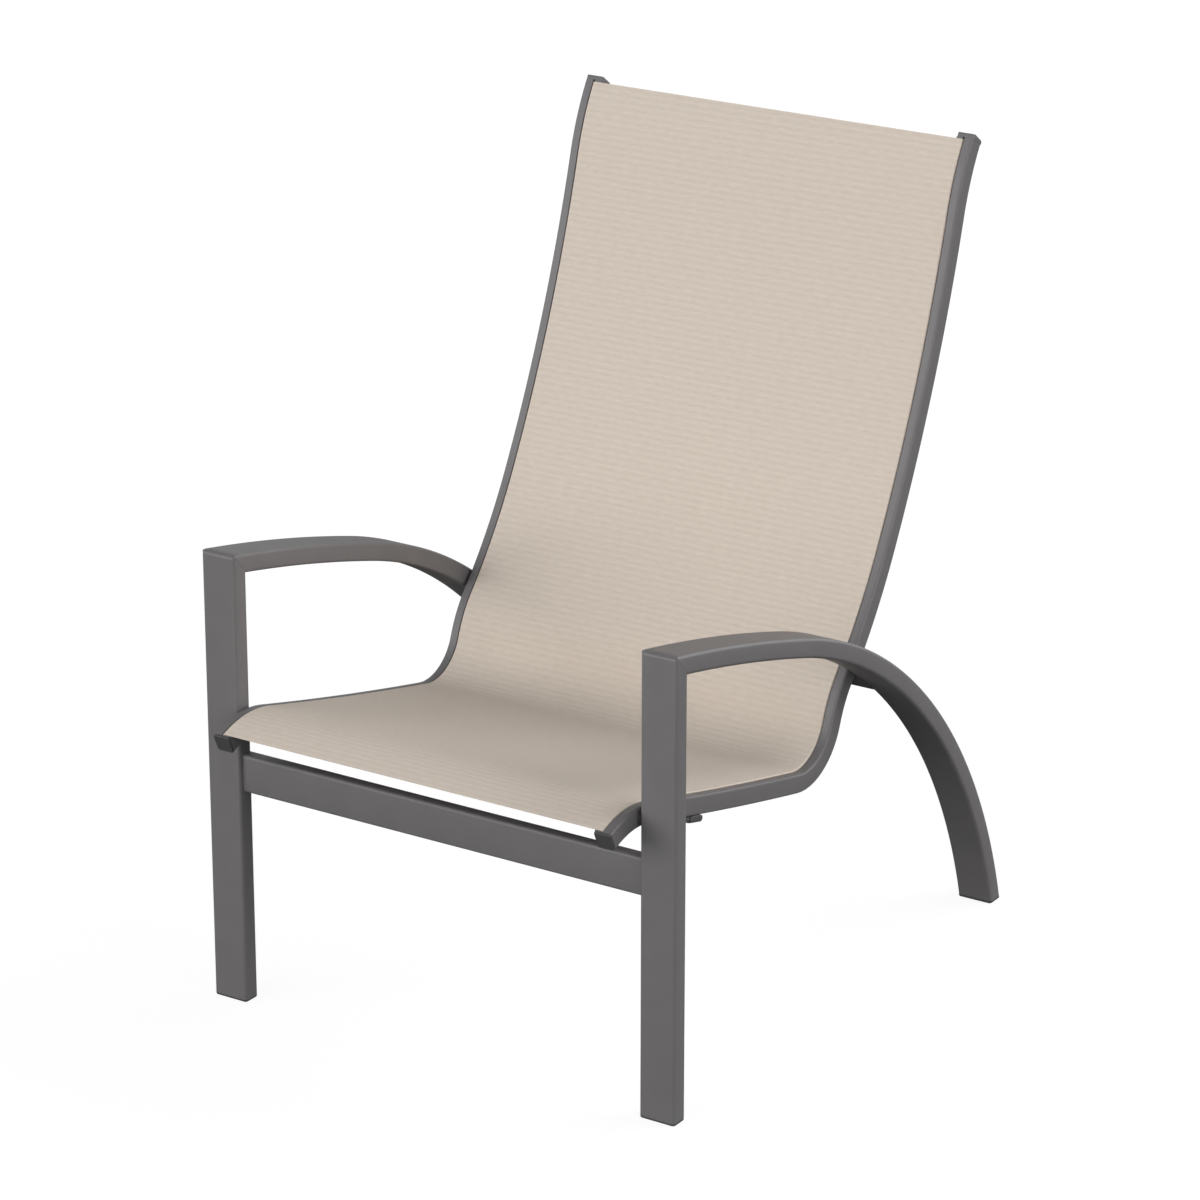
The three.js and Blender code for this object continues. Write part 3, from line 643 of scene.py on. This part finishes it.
class CHAIR_OT_side_frames(SlingChairOperator):
    """Front legs and arms: each side is bent and mitred in one, rounded at the corner, then parted"""

    bl_idname = "sling_chair.side_frames"
    bl_label = "Side frames"

    CORNER_FACETS = 7

    def leg(self):
        place = Matrix.Translation((TUBE_CENTRE, FRONT_FACE + TUBE_DEPTH / 2, LEG_LOW.z))
        leg = plate(place, TUBE_WIDTH, TUBE_DEPTH, sizes().tube_corner)
        straight((0, 0, LEG_HIGH.z - LEG_LOW.z + SPARE))
        cut_away(MITRE_POINT, MITRE_AWAY, fill=False)
        return leg

    def arm(self):
        place = Matrix.Translation((TUBE_CENTRE, 0, 0)) @ ARM.across(-TUBE_DEPTH)
        arm = plate(place, TUBE_WIDTH, TUBE_DEPTH, sizes().tube_corner)
        straight(TUBE_DEPTH * direction(ARM.at(0)[1]))
        ARM.sweep(0, ARM.length, 2 * sizes().bend_step)
        cut_away(MITRE_POINT, -MITRE_AWAY, fill=False)
        cut_away((0, 0, LEG_LOW.z), (0, 0, -1))
        return arm

    def round_corner(self):
        """Grinds the outer corner round with plane cuts that all touch one circle in the side plane."""
        radius = sizes().mitre_round
        corner = math.pi / 2 - math.radians(ARM_SLOPE)
        top = Vector((0, -math.cos(corner), math.sin(corner)))
        centre = MITRE_POINT + Vector((0, radius, -radius * (1 + top.y) / top.z))
        for facet in range(self.CORNER_FACETS):
            turn = corner * (facet + 0.5) / self.CORNER_FACETS
            normal = Vector((0, -math.cos(turn), math.sin(turn)))
            cut_away(centre + radius * normal, normal)

    def execute(self, context):
        leg = self.leg()
        arm = join(self.arm(), leg)
        edit()
        bpy.ops.mesh.remove_doubles(threshold=MITRE_MERGE)
        bpy.ops.mesh.normals_make_consistent(inside=False)
        self.round_corner()
        deselect()
        for piece, side, stem in ((arm, -1, "arm"), (copy_of(arm), 1, "front_leg")):
            activate(piece)
            edit()
            cut_away(MITRE_POINT - side * WELD_GAP * MITRE_AWAY, side * MITRE_AWAY)
            tidy(piece, 30)
            both_sides(piece, powder_coated_aluminium(), stem)
        return {"FINISHED"}


class CHAIR_OT_crossbars(SlingChairOperator):
    """Front and rear crossbars: flat tube with rounded edges, set between the side frames"""

    bl_idname = "sling_chair.crossbars"
    bl_label = "Crossbars"

    def execute(self, context):
        low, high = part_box("front_crossbar")
        height = high.z - low.z
        depth = high.y - low.y
        half = TUBE_INNER - WELD_GAP
        slope = ARM.at(REAR_CROSSBAR_PLACE)[1]
        for name, lean in (("front_crossbar", 0), ("rear_crossbar", slope + math.pi / 2)):
            low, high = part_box(name)
            place = Matrix.Translation((low + high) / 2) @ Matrix.Rotation(lean, 4, "X") @ OUTWARD
            start = place @ Matrix.Translation((0, 0, -half))
            bar = plate(start, height, depth, sizes().crossbar_corner)
            straight((2 * half, 0, 0))
            tidy(bar, 30)
            dress(bar, powder_coated_aluminium(), name)
        return {"FINISHED"}


class CHAIR_OT_foot_glides(SlingChairOperator):
    """Foot glides: moulded pads with a rounded lower edge and a plug up the tube"""

    bl_idname = "sling_chair.foot_glides"
    bl_label = "Foot glides"

    LOWER_EDGE = mm(2.3)
    PLUG_INSET = mm(2.5)
    PLUG_HEIGHT = mm(13)

    def execute(self, context):
        # Each plug goes up its own tube: the front one upright, the rear one along the arm's end
        for stem, lean in (("foot_glide_front", -math.pi / 2), ("foot_glide_rear", ARM.end_heading)):
            low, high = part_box(f"{stem}_left")
            place = Matrix.Translation(((low.x + high.x) / 2, (low.y + high.y) / 2, low.z))
            pad = plate(place, TUBE_WIDTH, high.y - low.y, sizes().tube_corner)
            straight((0, 0, LEG_LOW.z - GAP))
            bevel_rim(Vector((0, 0, -1)), self.LOWER_EDGE, 4)
            pick_facing(Vector((0, 0, 1)))
            bpy.ops.mesh.inset(thickness=self.PLUG_INSET)
            straight((0, -self.PLUG_HEIGHT / math.tan(-lean), self.PLUG_HEIGHT))
            tidy(pad)
            both_sides(pad, moulded_nylon(), stem)
        return {"FINISHED"}


class CHAIR_OT_sling_rails(SlingChairOperator):
    """Sling rails: a grooved extrusion, bent to the seat and the back"""

    bl_idname = "sling_chair.sling_rails"
    bl_label = "Sling rails"

    # The sling lies over the inner top corner, so that one is rounded less
    INNER_TOP_SHARE = 0.4

    def execute(self, context):
        lift = RAIL_TOP - RAIL_DEPTH / 2
        place = Matrix.Translation((RAIL_CENTRE, 0, 0)) @ SLING.across(RAIL_FRONT, lift)
        rail = rectangle(place, RAIL_WIDTH, RAIL_DEPTH)
        away = place.to_3x3() @ Vector((0, 1, 0))
        top = place.translation + away * RAIL_DEPTH / 2
        bottom = top - away * RAIL_DEPTH
        floor = top - away * sizes().slot_depth
        inner_lip = SLOT_CENTRE - sizes().slot_width / 2
        outer_lip = SLOT_CENTRE + sizes().slot_width / 2
        for point, normal in ((inner_lip * ACROSS, ACROSS), (outer_lip * ACROSS, ACROSS), (floor, away)):
            everything()
            bpy.ops.mesh.bisect(plane_co=point, plane_no=normal)
        pick(
            "FACE",
            lambda middle, _normal: inner_lip < middle.x < outer_lip and (middle - floor).dot(away) > 0)
        bpy.ops.mesh.delete(type="FACE")
        everything()
        bpy.ops.mesh.dissolve_faces()

        # Each corner of the section, the radius that it gets and the segments of its rounding
        corner = sizes().rail_corner
        for x, level, radius, segments in (
            (RAIL_OUTER, top, corner, 5),
            (RAIL_OUTER, bottom, corner, 5),
            (RAIL_INNER, bottom, corner, 5),
            (RAIL_INNER, top, corner * self.INNER_TOP_SHARE, 5),
            (inner_lip, top, sizes().lip_round, 4),
            (outer_lip, top, OUTER_LIP_ROUND, 4),
        ):
            pick("VERT", lambda co: abs(co.x - x) < NEAR and abs((co - level).dot(away)) < NEAR)
            bevel(radius, segments, "VERTICES")
        everything()
        straight(-RAIL_FRONT * direction(SLING.at(0)[1]))
        SLING.sweep(0, SLING.length, sizes().bend_step)
        straight((RAIL_END - SLING.length) * direction(SLING.end_heading))
        tidy(rail, 30)
        both_sides(rail, powder_coated_aluminium(), "sling_rail")
        return {"FINISHED"}


class CHAIR_OT_rail_caps(SlingChairOperator):
    """Rail end caps: moulded covers with softened edges, at the front and the top of each rail"""

    bl_idname = "sling_chair.rail_caps"
    bl_label = "Rail caps"

    # A cap's section is rounded a trace less than the rail's
    CORNER_SHARE = 0.98
    FRONT_THICKNESS = mm(3)
    FRONT_EDGE = mm(1)
    # The top cap stands proud behind the rail, leans, and is rounded at its front and its rear
    TOP_THICKNESS = mm(6.8)
    TOP_EDGE = mm(2)
    TOP_TILT = -math.radians(5)
    TOP_PROUD = mm(1.8)
    TOP_FRONT_ROUND = mm(4)
    TOP_REAR_ROUND = mm(6)
    ROUND_FACETS = 6

    def cap(self, distance, thickness, outward, tilt=0.0, proud=0.0):
        """A cap over the rail's section, with an end face that leans back from its front edge."""
        depth = RAIL_DEPTH + proud
        heading = SLING.at(distance)[1]
        along = outward * direction(heading)
        away = square_to(heading)
        seat = SLING.across(distance + outward * WELD_GAP, RAIL_TOP - depth / 2)
        place = Matrix.Translation((RAIL_CENTRE, 0, 0)) @ seat
        cap = plate(place, RAIL_WIDTH, depth, sizes().rail_corner * self.CORNER_SHARE)
        straight(along * 2 * thickness)
        front_edge = place.translation + away * depth / 2 + along * thickness
        face = along @ Matrix.Rotation(-tilt, 3, "X")
        cut_away(front_edge, face)
        bpy.ops.mesh.normals_make_consistent(inside=False)
        rear_edge = front_edge - depth * (away - along * away.dot(face) / along.dot(face))
        return cap, front_edge, rear_edge, away, face

    def round_edge(self, corner, side, face, radius):
        """Rounds the edge between the end face and a side with plane cuts that touch one circle."""
        centre = corner - side * radius
        centre -= face * (radius + (centre - corner).dot(face))
        angle = side.angle(face)
        axis = side.cross(face).normalized()
        for facet in range(self.ROUND_FACETS):
            normal = Matrix.Rotation(angle * (facet + 0.5) / self.ROUND_FACETS, 3, axis) @ side
            cut_away(centre + radius * normal, normal)

    def close(self, cap, edge, material, stem):
        """Softens a cap's edges and dresses it on both sides."""
        soften(tidy(cap), edge)
        both_sides(tidy(cap), material, stem)

    def execute(self, context):
        cap = self.cap(RAIL_FRONT, self.FRONT_THICKNESS, -1)[0]
        self.close(cap, self.FRONT_EDGE, moulded_nylon(), "rail_front_cap")
        cap, front_edge, rear_edge, away, face = self.cap(
            RAIL_END, self.TOP_THICKNESS, 1, self.TOP_TILT, self.TOP_PROUD)
        self.round_edge(front_edge, away, face, self.TOP_FRONT_ROUND)
        self.round_edge(rear_edge, -away, face, self.TOP_REAR_ROUND)
        self.close(cap, self.TOP_EDGE, tinted_nylon(), "rail_top_cap")
        return {"FINISHED"}


class CHAIR_OT_sling_cloth(SlingChairOperator):
    """Sling: one strained sheet between the rails, turned down into both grooves over the spline rods"""

    bl_idname = "sling_chair.sling_cloth"
    bl_label = "Sling cloth"

    TURN_STEPS = 8

    def section(self):
        """The section's points, across the chair and away from the path, from the right to the left."""
        turn_x = SLOT_CENTRE - sizes().slot_width / 2 - sizes().lip_round
        turn_lift = RAIL_TOP - sizes().lip_round
        radius = -turn_lift
        # The left half: flat, then round the groove's inner lip, then down
        half = [(turn_x * step / self.TURN_STEPS, 0.0) for step in range(self.TURN_STEPS)]
        for step in range(self.TURN_STEPS + 1):
            angle = math.pi / 2 * (1 - step / self.TURN_STEPS)
            half.append((turn_x + radius * math.cos(angle), turn_lift + radius * math.sin(angle)))
        half.append((turn_x + radius, RAIL_TOP - sizes().slot_depth + SMALL_GAP))
        return [(-x, lift) for x, lift in reversed(half[1:])] + half

    def execute(self, context):
        deselect()
        section = self.section()
        across = [0.0]
        for (x0, z0), (x1, z1) in zip(section, section[1:]):
            across.append(across[-1] + math.hypot(x1 - x0, z1 - z0))
        width = across[-1]
        steps = round(SLING.length / sizes().bend_step)
        mesh = bmesh.new()
        uv_layer = mesh.loops.layers.uv.new("cloth")
        rows = []
        for row in range(steps + 1):
            place = SLING.across(SLING.length * row / steps)
            rows.append([mesh.verts.new(place @ Vector((x, lift, 0))) for x, lift in section])
        for row in range(steps):
            for column in range(len(section) - 1):
                corners = ((row, column), (row, column + 1), (row + 1, column + 1), (row + 1, column))
                face = mesh.faces.new([rows[r][c] for r, c in corners])
                for loop, (r, c) in zip(face.loops, corners):
                    loop[uv_layer].uv = (across[c] - width / 2, SLING.length * r / steps)
        data = bpy.data.meshes.new("sling")
        mesh.to_mesh(data)
        mesh.free()
        cloth = bpy.data.objects.new("sling", data)
        context.scene.collection.objects.link(cloth)
        activate(cloth)
        wall = cloth.modifiers.new("thickness", "SOLIDIFY")
        wall.thickness = sizes().cloth_thickness
        wall.offset = -1
        bpy.ops.object.modifier_apply(modifier=wall.name)
        bpy.ops.object.shade_smooth_by_angle(angle=math.radians(50))
        dress(cloth, woven_sling(), "sling_fabric")
        for side in ("left", "right"):
            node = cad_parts[f"spline_rod_{side}"]
            node.data.materials.clear()
            node.data.materials.append(extruded_vinyl())
        return {"FINISHED"}


# The spreader bars' section. The seat's bar is thinner than its solid, since its rail is deeper.
SPREADER_WIDTH = mm(28.6)
SPREADER_THICKNESS = mm(12.7)
SEAT_BAR_THICKNESS = mm(8.6)
# An oval's ends stop short of a half circle by this much, and are rounded in so many segments
OVAL_FLAT = mm(0.2)
OVAL_SEGMENTS = 8
BOW_STEPS = 64

# Head radius, head height, shank radius and shank length
SEAT_SCREW = (mm(4.6), mm(2.6), mm(2.4), mm(19))
BACK_SCREW = (mm(4), mm(2.6), mm(2.4), mm(7.4))
RAIL_BOLT = (mm(5.5), mm(3.3), mm(3), mm(40.5))
# How much of a head's height is rounded, and the hex socket in it
HEAD_ROUND_SHARE = 0.55
HEX_RADIUS = mm(2.3)
HEX_DEPTH = mm(1.8)


def oval(place, width, thickness):
    """A flat oval section that faces across the chair, left in edit mode with its face selected."""
    return plate(place @ SIDEWAYS, width, thickness, thickness / 2 - OVAL_FLAT, OVAL_SEGMENTS)


def bowed_bar(place, width, thickness, half_length, span):
    """A flat oval bar across the chair, bowed away from the sitter over its middle span."""
    bar = oval(place @ Matrix.Translation((-half_length, 0, 0)), width, thickness)
    for _ in range(BOW_STEPS):
        straight((2 * half_length / BOW_STEPS, 0, 0))
    deselect()
    away = place.to_3x3() @ Vector((0, 0, 1))
    for vertex in bar.data.vertices:
        share = min(max(vertex.co.x / span + 0.5, 0), 1)
        vertex.co -= away * sizes().spreader_bow * (1 - math.cos(2 * math.pi * share)) / 2
    return tidy(bar)


def headed_pin(place, head_radius, head_height, shank_radius, length):
    """A button-headed screw along the place's z: its head, with a hex socket, lies before the origin."""
    head = rod(place @ Matrix.Rotation(math.pi, 4, "X"), head_radius, head_height)
    inward = place.to_3x3() @ Vector((0, 0, 1))
    bevel_rim(-inward, head_height * HEAD_ROUND_SHARE, 4)
    pick_facing(inward)
    bpy.ops.mesh.inset(thickness=head_radius - shank_radius)
    straight(inward * length)
    mouth = place @ Matrix.Translation((0, 0, -head_height - LEAD))
    return tidy(subtract(head, rod(mouth, HEX_RADIUS, HEX_DEPTH + LEAD, 6)))


class CHAIR_OT_seat_spreader(SlingChairOperator):
    """Seat spreader: a bowed flat oval tube under the rails, with its end plugs and screws"""

    bl_idname = "sling_chair.seat_spreader"
    bl_label = "Seat spreader"

    PLACE = mm(203)
    # The bar stops this far inside the rails' outer sides, and the plugs fill the rest
    PLUG_LENGTH = mm(2.8)
    PLUG_EDGE = mm(1.1)

    def execute(self, context):
        thickness = SEAT_BAR_THICKNESS
        place = SLING.seated(self.PLACE, RAIL_TOP - RAIL_DEPTH - GAP - thickness / 2)
        half = RAIL_OUTER - self.PLUG_LENGTH
        bar = bowed_bar(place, SPREADER_WIDTH, thickness, half, 2 * RAIL_INNER)
        dress(bar, powder_coated_aluminium(), "seat_spreader_bar")
        start = half + SMALL_GAP
        plug = oval(place @ Matrix.Translation((start, 0, 0)), SPREADER_WIDTH, thickness)
        straight((RAIL_OUTER - start, 0, 0))
        bpy.ops.mesh.normals_make_consistent(inside=False)
        bevel_rim(ACROSS, self.PLUG_EDGE)
        tidy(plug)
        both_sides(plug, moulded_nylon(), "seat_spreader_plug")
        at_screw = place @ Matrix.Translation((RAIL_CENTRE, 0, -thickness / 2 - GAP))
        screw = headed_pin(at_screw, *SEAT_SCREW)
        both_sides(screw, zinc_plated_steel(), "seat_spreader_screw")
        return {"FINISHED"}


class CHAIR_OT_back_spreader(SlingChairOperator):
    """Back spreader: a bowed flat oval tube behind the back, standing in two screwed sockets"""

    bl_idname = "sling_chair.back_spreader"
    bl_label = "Back spreader"

    PLACE = mm(1045)
    BELOW_RAIL_TOP = mm(13)
    # The bar is narrower than the seat's, stops short of the rails, and bows between the sockets
    NARROWER = mm(4.8)
    BAR_SHORT = mm(3.6)
    BOW_SHORT = mm(14.3)
    # The socket: how much larger than the bar it and its hollow are, its depth, floor and rim
    SOCKET_WALLS = mm(5.4)
    HOLLOW_PLAY = mm(0.6)
    SOCKET_DEPTH = mm(14)
    SOCKET_FLOOR = mm(3)
    SOCKET_RIM = mm(1)
    HOLLOW_LEAD = mm(6)

    def execute(self, context):
        place = SLING.seated(self.PLACE, RAIL_TOP - self.BELOW_RAIL_TOP)
        width = SPREADER_WIDTH - self.NARROWER
        thickness = SPREADER_THICKNESS
        bar = bowed_bar(
            place, width, thickness, RAIL_INNER - self.BAR_SHORT, 2 * (RAIL_INNER - self.BOW_SHORT))
        dress(bar, powder_coated_aluminium(), "back_spreader_bar")
        face = RAIL_INNER - GAP
        mouth = place @ Matrix.Translation((face - self.SOCKET_DEPTH, 0, 0))
        height = thickness + self.SOCKET_WALLS
        cup = plate(mouth @ SIDEWAYS, width + self.SOCKET_WALLS, height, height / 3, 6)
        straight((self.SOCKET_DEPTH, 0, 0))
        bpy.ops.mesh.normals_make_consistent(inside=False)
        bevel_rim(-ACROSS, self.SOCKET_RIM)
        hollow = plate(
            mouth @ Matrix.Translation((-self.HOLLOW_LEAD, 0, 0)) @ SIDEWAYS, width + self.HOLLOW_PLAY,
            thickness + self.HOLLOW_PLAY, (thickness - self.HOLLOW_PLAY) / 2, OVAL_SEGMENTS)
        straight((self.SOCKET_DEPTH - self.SOCKET_FLOOR + self.HOLLOW_LEAD, 0, 0))
        tidy(hollow)
        tidy(cup)
        tidy(subtract(cup, hollow))
        both_sides(cup, moulded_nylon(), "back_spreader_socket")
        at_screw = place @ Matrix.Translation((face - self.SOCKET_FLOOR - GAP, 0, 0)) @ OUTWARD
        screw = headed_pin(at_screw, *BACK_SCREW)
        both_sides(screw, zinc_plated_steel(), "back_spreader_screw")
        return {"FINISHED"}


class CHAIR_OT_rail_fixings(SlingChairOperator):
    """Rail fixings: bolts out through the rails and spacers into threaded inserts in the legs and arms"""

    bl_idname = "sling_chair.rail_fixings"
    bl_label = "Rail fixings"

    HOLE_RADIUS = mm(3.3)
    SPACER_RADIUS = mm(8)
    SPACER_EDGE = mm(0.4)
    FLANGE_RADIUS = mm(6.6)
    FLANGE_THICKNESS = mm(1)
    BARREL_RADIUS = mm(4.3)
    INSERT_EDGE = mm(0.2)
    SIDES = 40

    def ring(self, place, radius, length, edge):
        """A sleeve round the bolt, with both outer rims softened."""
        sleeve = rod(place, radius, length, self.SIDES)
        pick("EDGE", lambda _middle, line: abs(line.x) < 0.5)
        bevel(edge, 2)
        start = place @ Matrix.Translation((0, 0, -LEAD))
        hole = rod(start, self.HOLE_RADIUS, length + 2 * LEAD, self.SIDES)
        return tidy(subtract(sleeve, hole))

    def execute(self, context):
        flange = TUBE_INNER - GAP - self.FLANGE_THICKNESS
        spacer_start = RAIL_OUTER + SMALL_GAP
        spacer_length = flange - SMALL_GAP - spacer_start
        for where in ("front", "rear"):
            low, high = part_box(f"rail_bolt_{where}_left")
            axis = Matrix.Translation((0, (low.y + high.y) / 2, (low.z + high.z) / 2)) @ OUTWARD
            head = axis @ Matrix.Translation((0, 0, RAIL_INNER - GAP))
            bolt = headed_pin(head, *RAIL_BOLT)
            both_sides(bolt, zinc_plated_steel(), f"rail_bolt_{where}")
            spacer = self.ring(
                axis @ Matrix.Translation((0, 0, spacer_start)), self.SPACER_RADIUS, spacer_length,
                self.SPACER_EDGE)
            both_sides(spacer, moulded_nylon(), f"rail_spacer_{where}")
            low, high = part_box(f"threaded_insert_{where}_left")
            place = axis @ Matrix.Translation((0, 0, flange))
            insert = self.ring(place, self.FLANGE_RADIUS, self.FLANGE_THICKNESS, self.INSERT_EDGE)
            barrel = self.ring(place, self.BARREL_RADIUS, high.x - low.x, self.INSERT_EDGE)
            join(insert, barrel)
            both_sides(insert, zinc_plated_steel(), f"threaded_insert_{where}")
        return {"FINISHED"}


class CHAIR_OT_studio(SlingChairOperator):
    """Studio: a pale floor, bright walls, soft light from all round, and the camera"""

    bl_idname = "sling_chair.studio"
    bl_label = "Studio"

    # Each lamp's azimuth from the front towards the sitter's left, its elevation and its strength
    LAMPS = (
        ("front_light", 0, 12, 0.84),
        ("left_light", 80, 12, 0.88),
        ("right_light", -40, 12, 1.18),
        ("top_light", -30, 40, 0.17),
        ("rear_light", 130, 30, 1.42),
        ("back_light", 168, 22, 0.5),
    )
    LAMP_SPREAD = 40
    LAMP_DISTANCE = 4
    WHITE = (1, 1, 1, 1)
    FLOOR_SIZE = 60
    # How bright the floor looks, how much of its look is its own light, and how dull it is to the chair
    FLOOR_GLOW = 1.07
    GLOW_SHARE = 0.85
    DULL = (0.08, 0.08, 0.08, 1)
    # The camera, as solved from the photograph. Its picture is square.
    CAMERA_PLACE = Vector((mm(3039.78), FRONT_FACE - mm(4280.28), mm(2528.9)))
    CAMERA_FORWARD = Vector((-0.51376, 0.78629, -0.34332))
    CAMERA_LENS = 138.9
    CAMERA_SENSOR = 36
    CAMERA_REACH = 100

    def floor(self):
        deselect()
        bpy.ops.mesh.primitive_plane_add(size=self.FLOOR_SIZE)
        floor = bpy.context.object
        floor.name = "studio_floor"
        material, _is_new = new_material("studio_floor")
        ray = add_node(material, "ShaderNodeLightPath").outputs["Is Camera Ray"]
        seen = add_node(material, "ShaderNodeBsdfDiffuse", {"Color": shade_of(finish().floor_colour)})
        glow = add_node(
            material, "ShaderNodeEmission", {"Color": self.WHITE, "Strength": self.FLOOR_GLOW})
        pale = add_node(
            material, "ShaderNodeMixShader", {0: self.GLOW_SHARE, 1: seen.outputs[0], 2: glow.outputs[0]})
        # Light that the floor throws back is dimmer than the floor looks, so undersides stay dark
        dull = add_node(material, "ShaderNodeBsdfDiffuse", {"Color": self.DULL})
        shader = add_node(
            material, "ShaderNodeMixShader", {0: ray, 1: dull.outputs[0], 2: pale.outputs[0]})
        floor.data.materials.append(show(material, shader))

    def world(self):
        world = bpy.data.worlds.new("studio_world")
        bpy.context.scene.world = world
        world.use_nodes = True
        world.node_tree.nodes.clear()
        path = add_node(world, "ShaderNodeLightPath")
        seen = add_node(
            world, "ShaderNodeMath",
            {
                "operation": "MAXIMUM", 0: path.outputs["Is Camera Ray"],
                1: path.outputs["Is Transmission Ray"],
            })
        # The studio's walls are bright at the height of the chair and fade towards the ceiling
        view = add_node(world, "ShaderNodeTexCoord").outputs["Object"]
        height = add_node(world, "ShaderNodeSeparateXYZ", {"Vector": view}).outputs["Z"]
        steep = add_node(world, "ShaderNodeMath", {"operation": "ABSOLUTE", 0: height}).outputs[0]
        level = add_node(
            world, "ShaderNodeMath", {"operation": "SUBTRACT", 0: 1.0, 1: steep}).outputs[0]
        light = add_node(world, "ShaderNodeBackground", {"Color": self.WHITE, "Strength": level})
        white = add_node(world, "ShaderNodeBackground", {"Color": self.WHITE, "Strength": 1.0})
        mix = add_node(
            world, "ShaderNodeMixShader",
            {0: seen.outputs[0], 1: light.outputs[0], 2: white.outputs[0]})
        add_node(world, "ShaderNodeOutputWorld", {"Surface": mix.outputs[0]})

    def sun(self, name, azimuth, elevation, strength):
        deselect()
        bpy.ops.object.light_add(type="SUN")
        lamp = bpy.context.object
        lamp.name = name
        lamp.data.energy = strength
        lamp.data.angle = math.radians(self.LAMP_SPREAD)
        turn, rise = math.radians(azimuth), math.radians(elevation)
        back = Vector((math.sin(turn) * math.cos(rise), -math.cos(turn) * math.cos(rise), math.sin(rise)))
        lamp.location = back * self.LAMP_DISTANCE
        lamp.rotation_mode = "QUATERNION"
        lamp.rotation_quaternion = (-back).to_track_quat("-Z", "Y")

    def camera(self):
        data = bpy.data.cameras.new("photo_camera")
        camera = bpy.data.objects.new("photo_camera", data)
        bpy.context.scene.collection.objects.link(camera)
        data.sensor_width = self.CAMERA_SENSOR
        data.lens = self.CAMERA_LENS
        data.clip_end = self.CAMERA_REACH
        camera.location = self.CAMERA_PLACE
        camera.rotation_mode = "QUATERNION"
        camera.rotation_quaternion = self.CAMERA_FORWARD.to_track_quat("-Z", "Y")
        bpy.context.scene.camera = camera

    def execute(self, context):
        self.floor()
        self.world()
        for name, azimuth, elevation, strength in self.LAMPS:
            self.sun(name, azimuth, elevation, strength)
        self.camera()
        context.scene.view_settings.view_transform = "Standard"
        return {"FINISHED"}


PIECE_OPERATORS = (
    CHAIR_OT_side_frames,
    CHAIR_OT_crossbars,
    CHAIR_OT_foot_glides,
    CHAIR_OT_sling_rails,
    CHAIR_OT_rail_caps,
    CHAIR_OT_sling_cloth,
    CHAIR_OT_seat_spreader,
    CHAIR_OT_back_spreader,
    CHAIR_OT_rail_fixings,
    CHAIR_OT_studio,
)


class CHAIR_PT_panel(bpy.types.Panel):
    """Lists the chair's pieces, sizes and finishes"""

    bl_idname = "CHAIR_PT_panel"
    bl_label = "Sling patio chair"
    bl_space_type = "VIEW_3D"
    bl_region_type = "UI"
    bl_category = "Chair"

    def draw(self, context):
        for group in (context.scene.sling_chair_sizes, context.scene.sling_chair_finish):
            box = self.layout.box()
            for name in group.__annotations__:
                box.prop(group, name)
        for operator in PIECE_OPERATORS:
            self.layout.operator(operator.bl_idname)


CLASSES = (SlingChairSizes, SlingChairFinish, *PIECE_OPERATORS, CHAIR_PT_panel)


def register():
    """Registers the add-on's classes and its two property groups."""
    for cls in CLASSES:
        bpy.utils.register_class(cls)
    bpy.types.Scene.sling_chair_sizes = bpy.props.PointerProperty(type=SlingChairSizes)
    bpy.types.Scene.sling_chair_finish = bpy.props.PointerProperty(type=SlingChairFinish)


def unregister():
    """Takes the add-on's classes away again."""
    del bpy.types.Scene.sling_chair_finish
    del bpy.types.Scene.sling_chair_sizes
    for cls in reversed(CLASSES):
        bpy.utils.unregister_class(cls)


def main():
    register()
    for operator in PIECE_OPERATORS:
        group, name = operator.bl_idname.split(".")
        getattr(getattr(bpy.ops, group), name)()


if __name__ == "__main__":
    main()
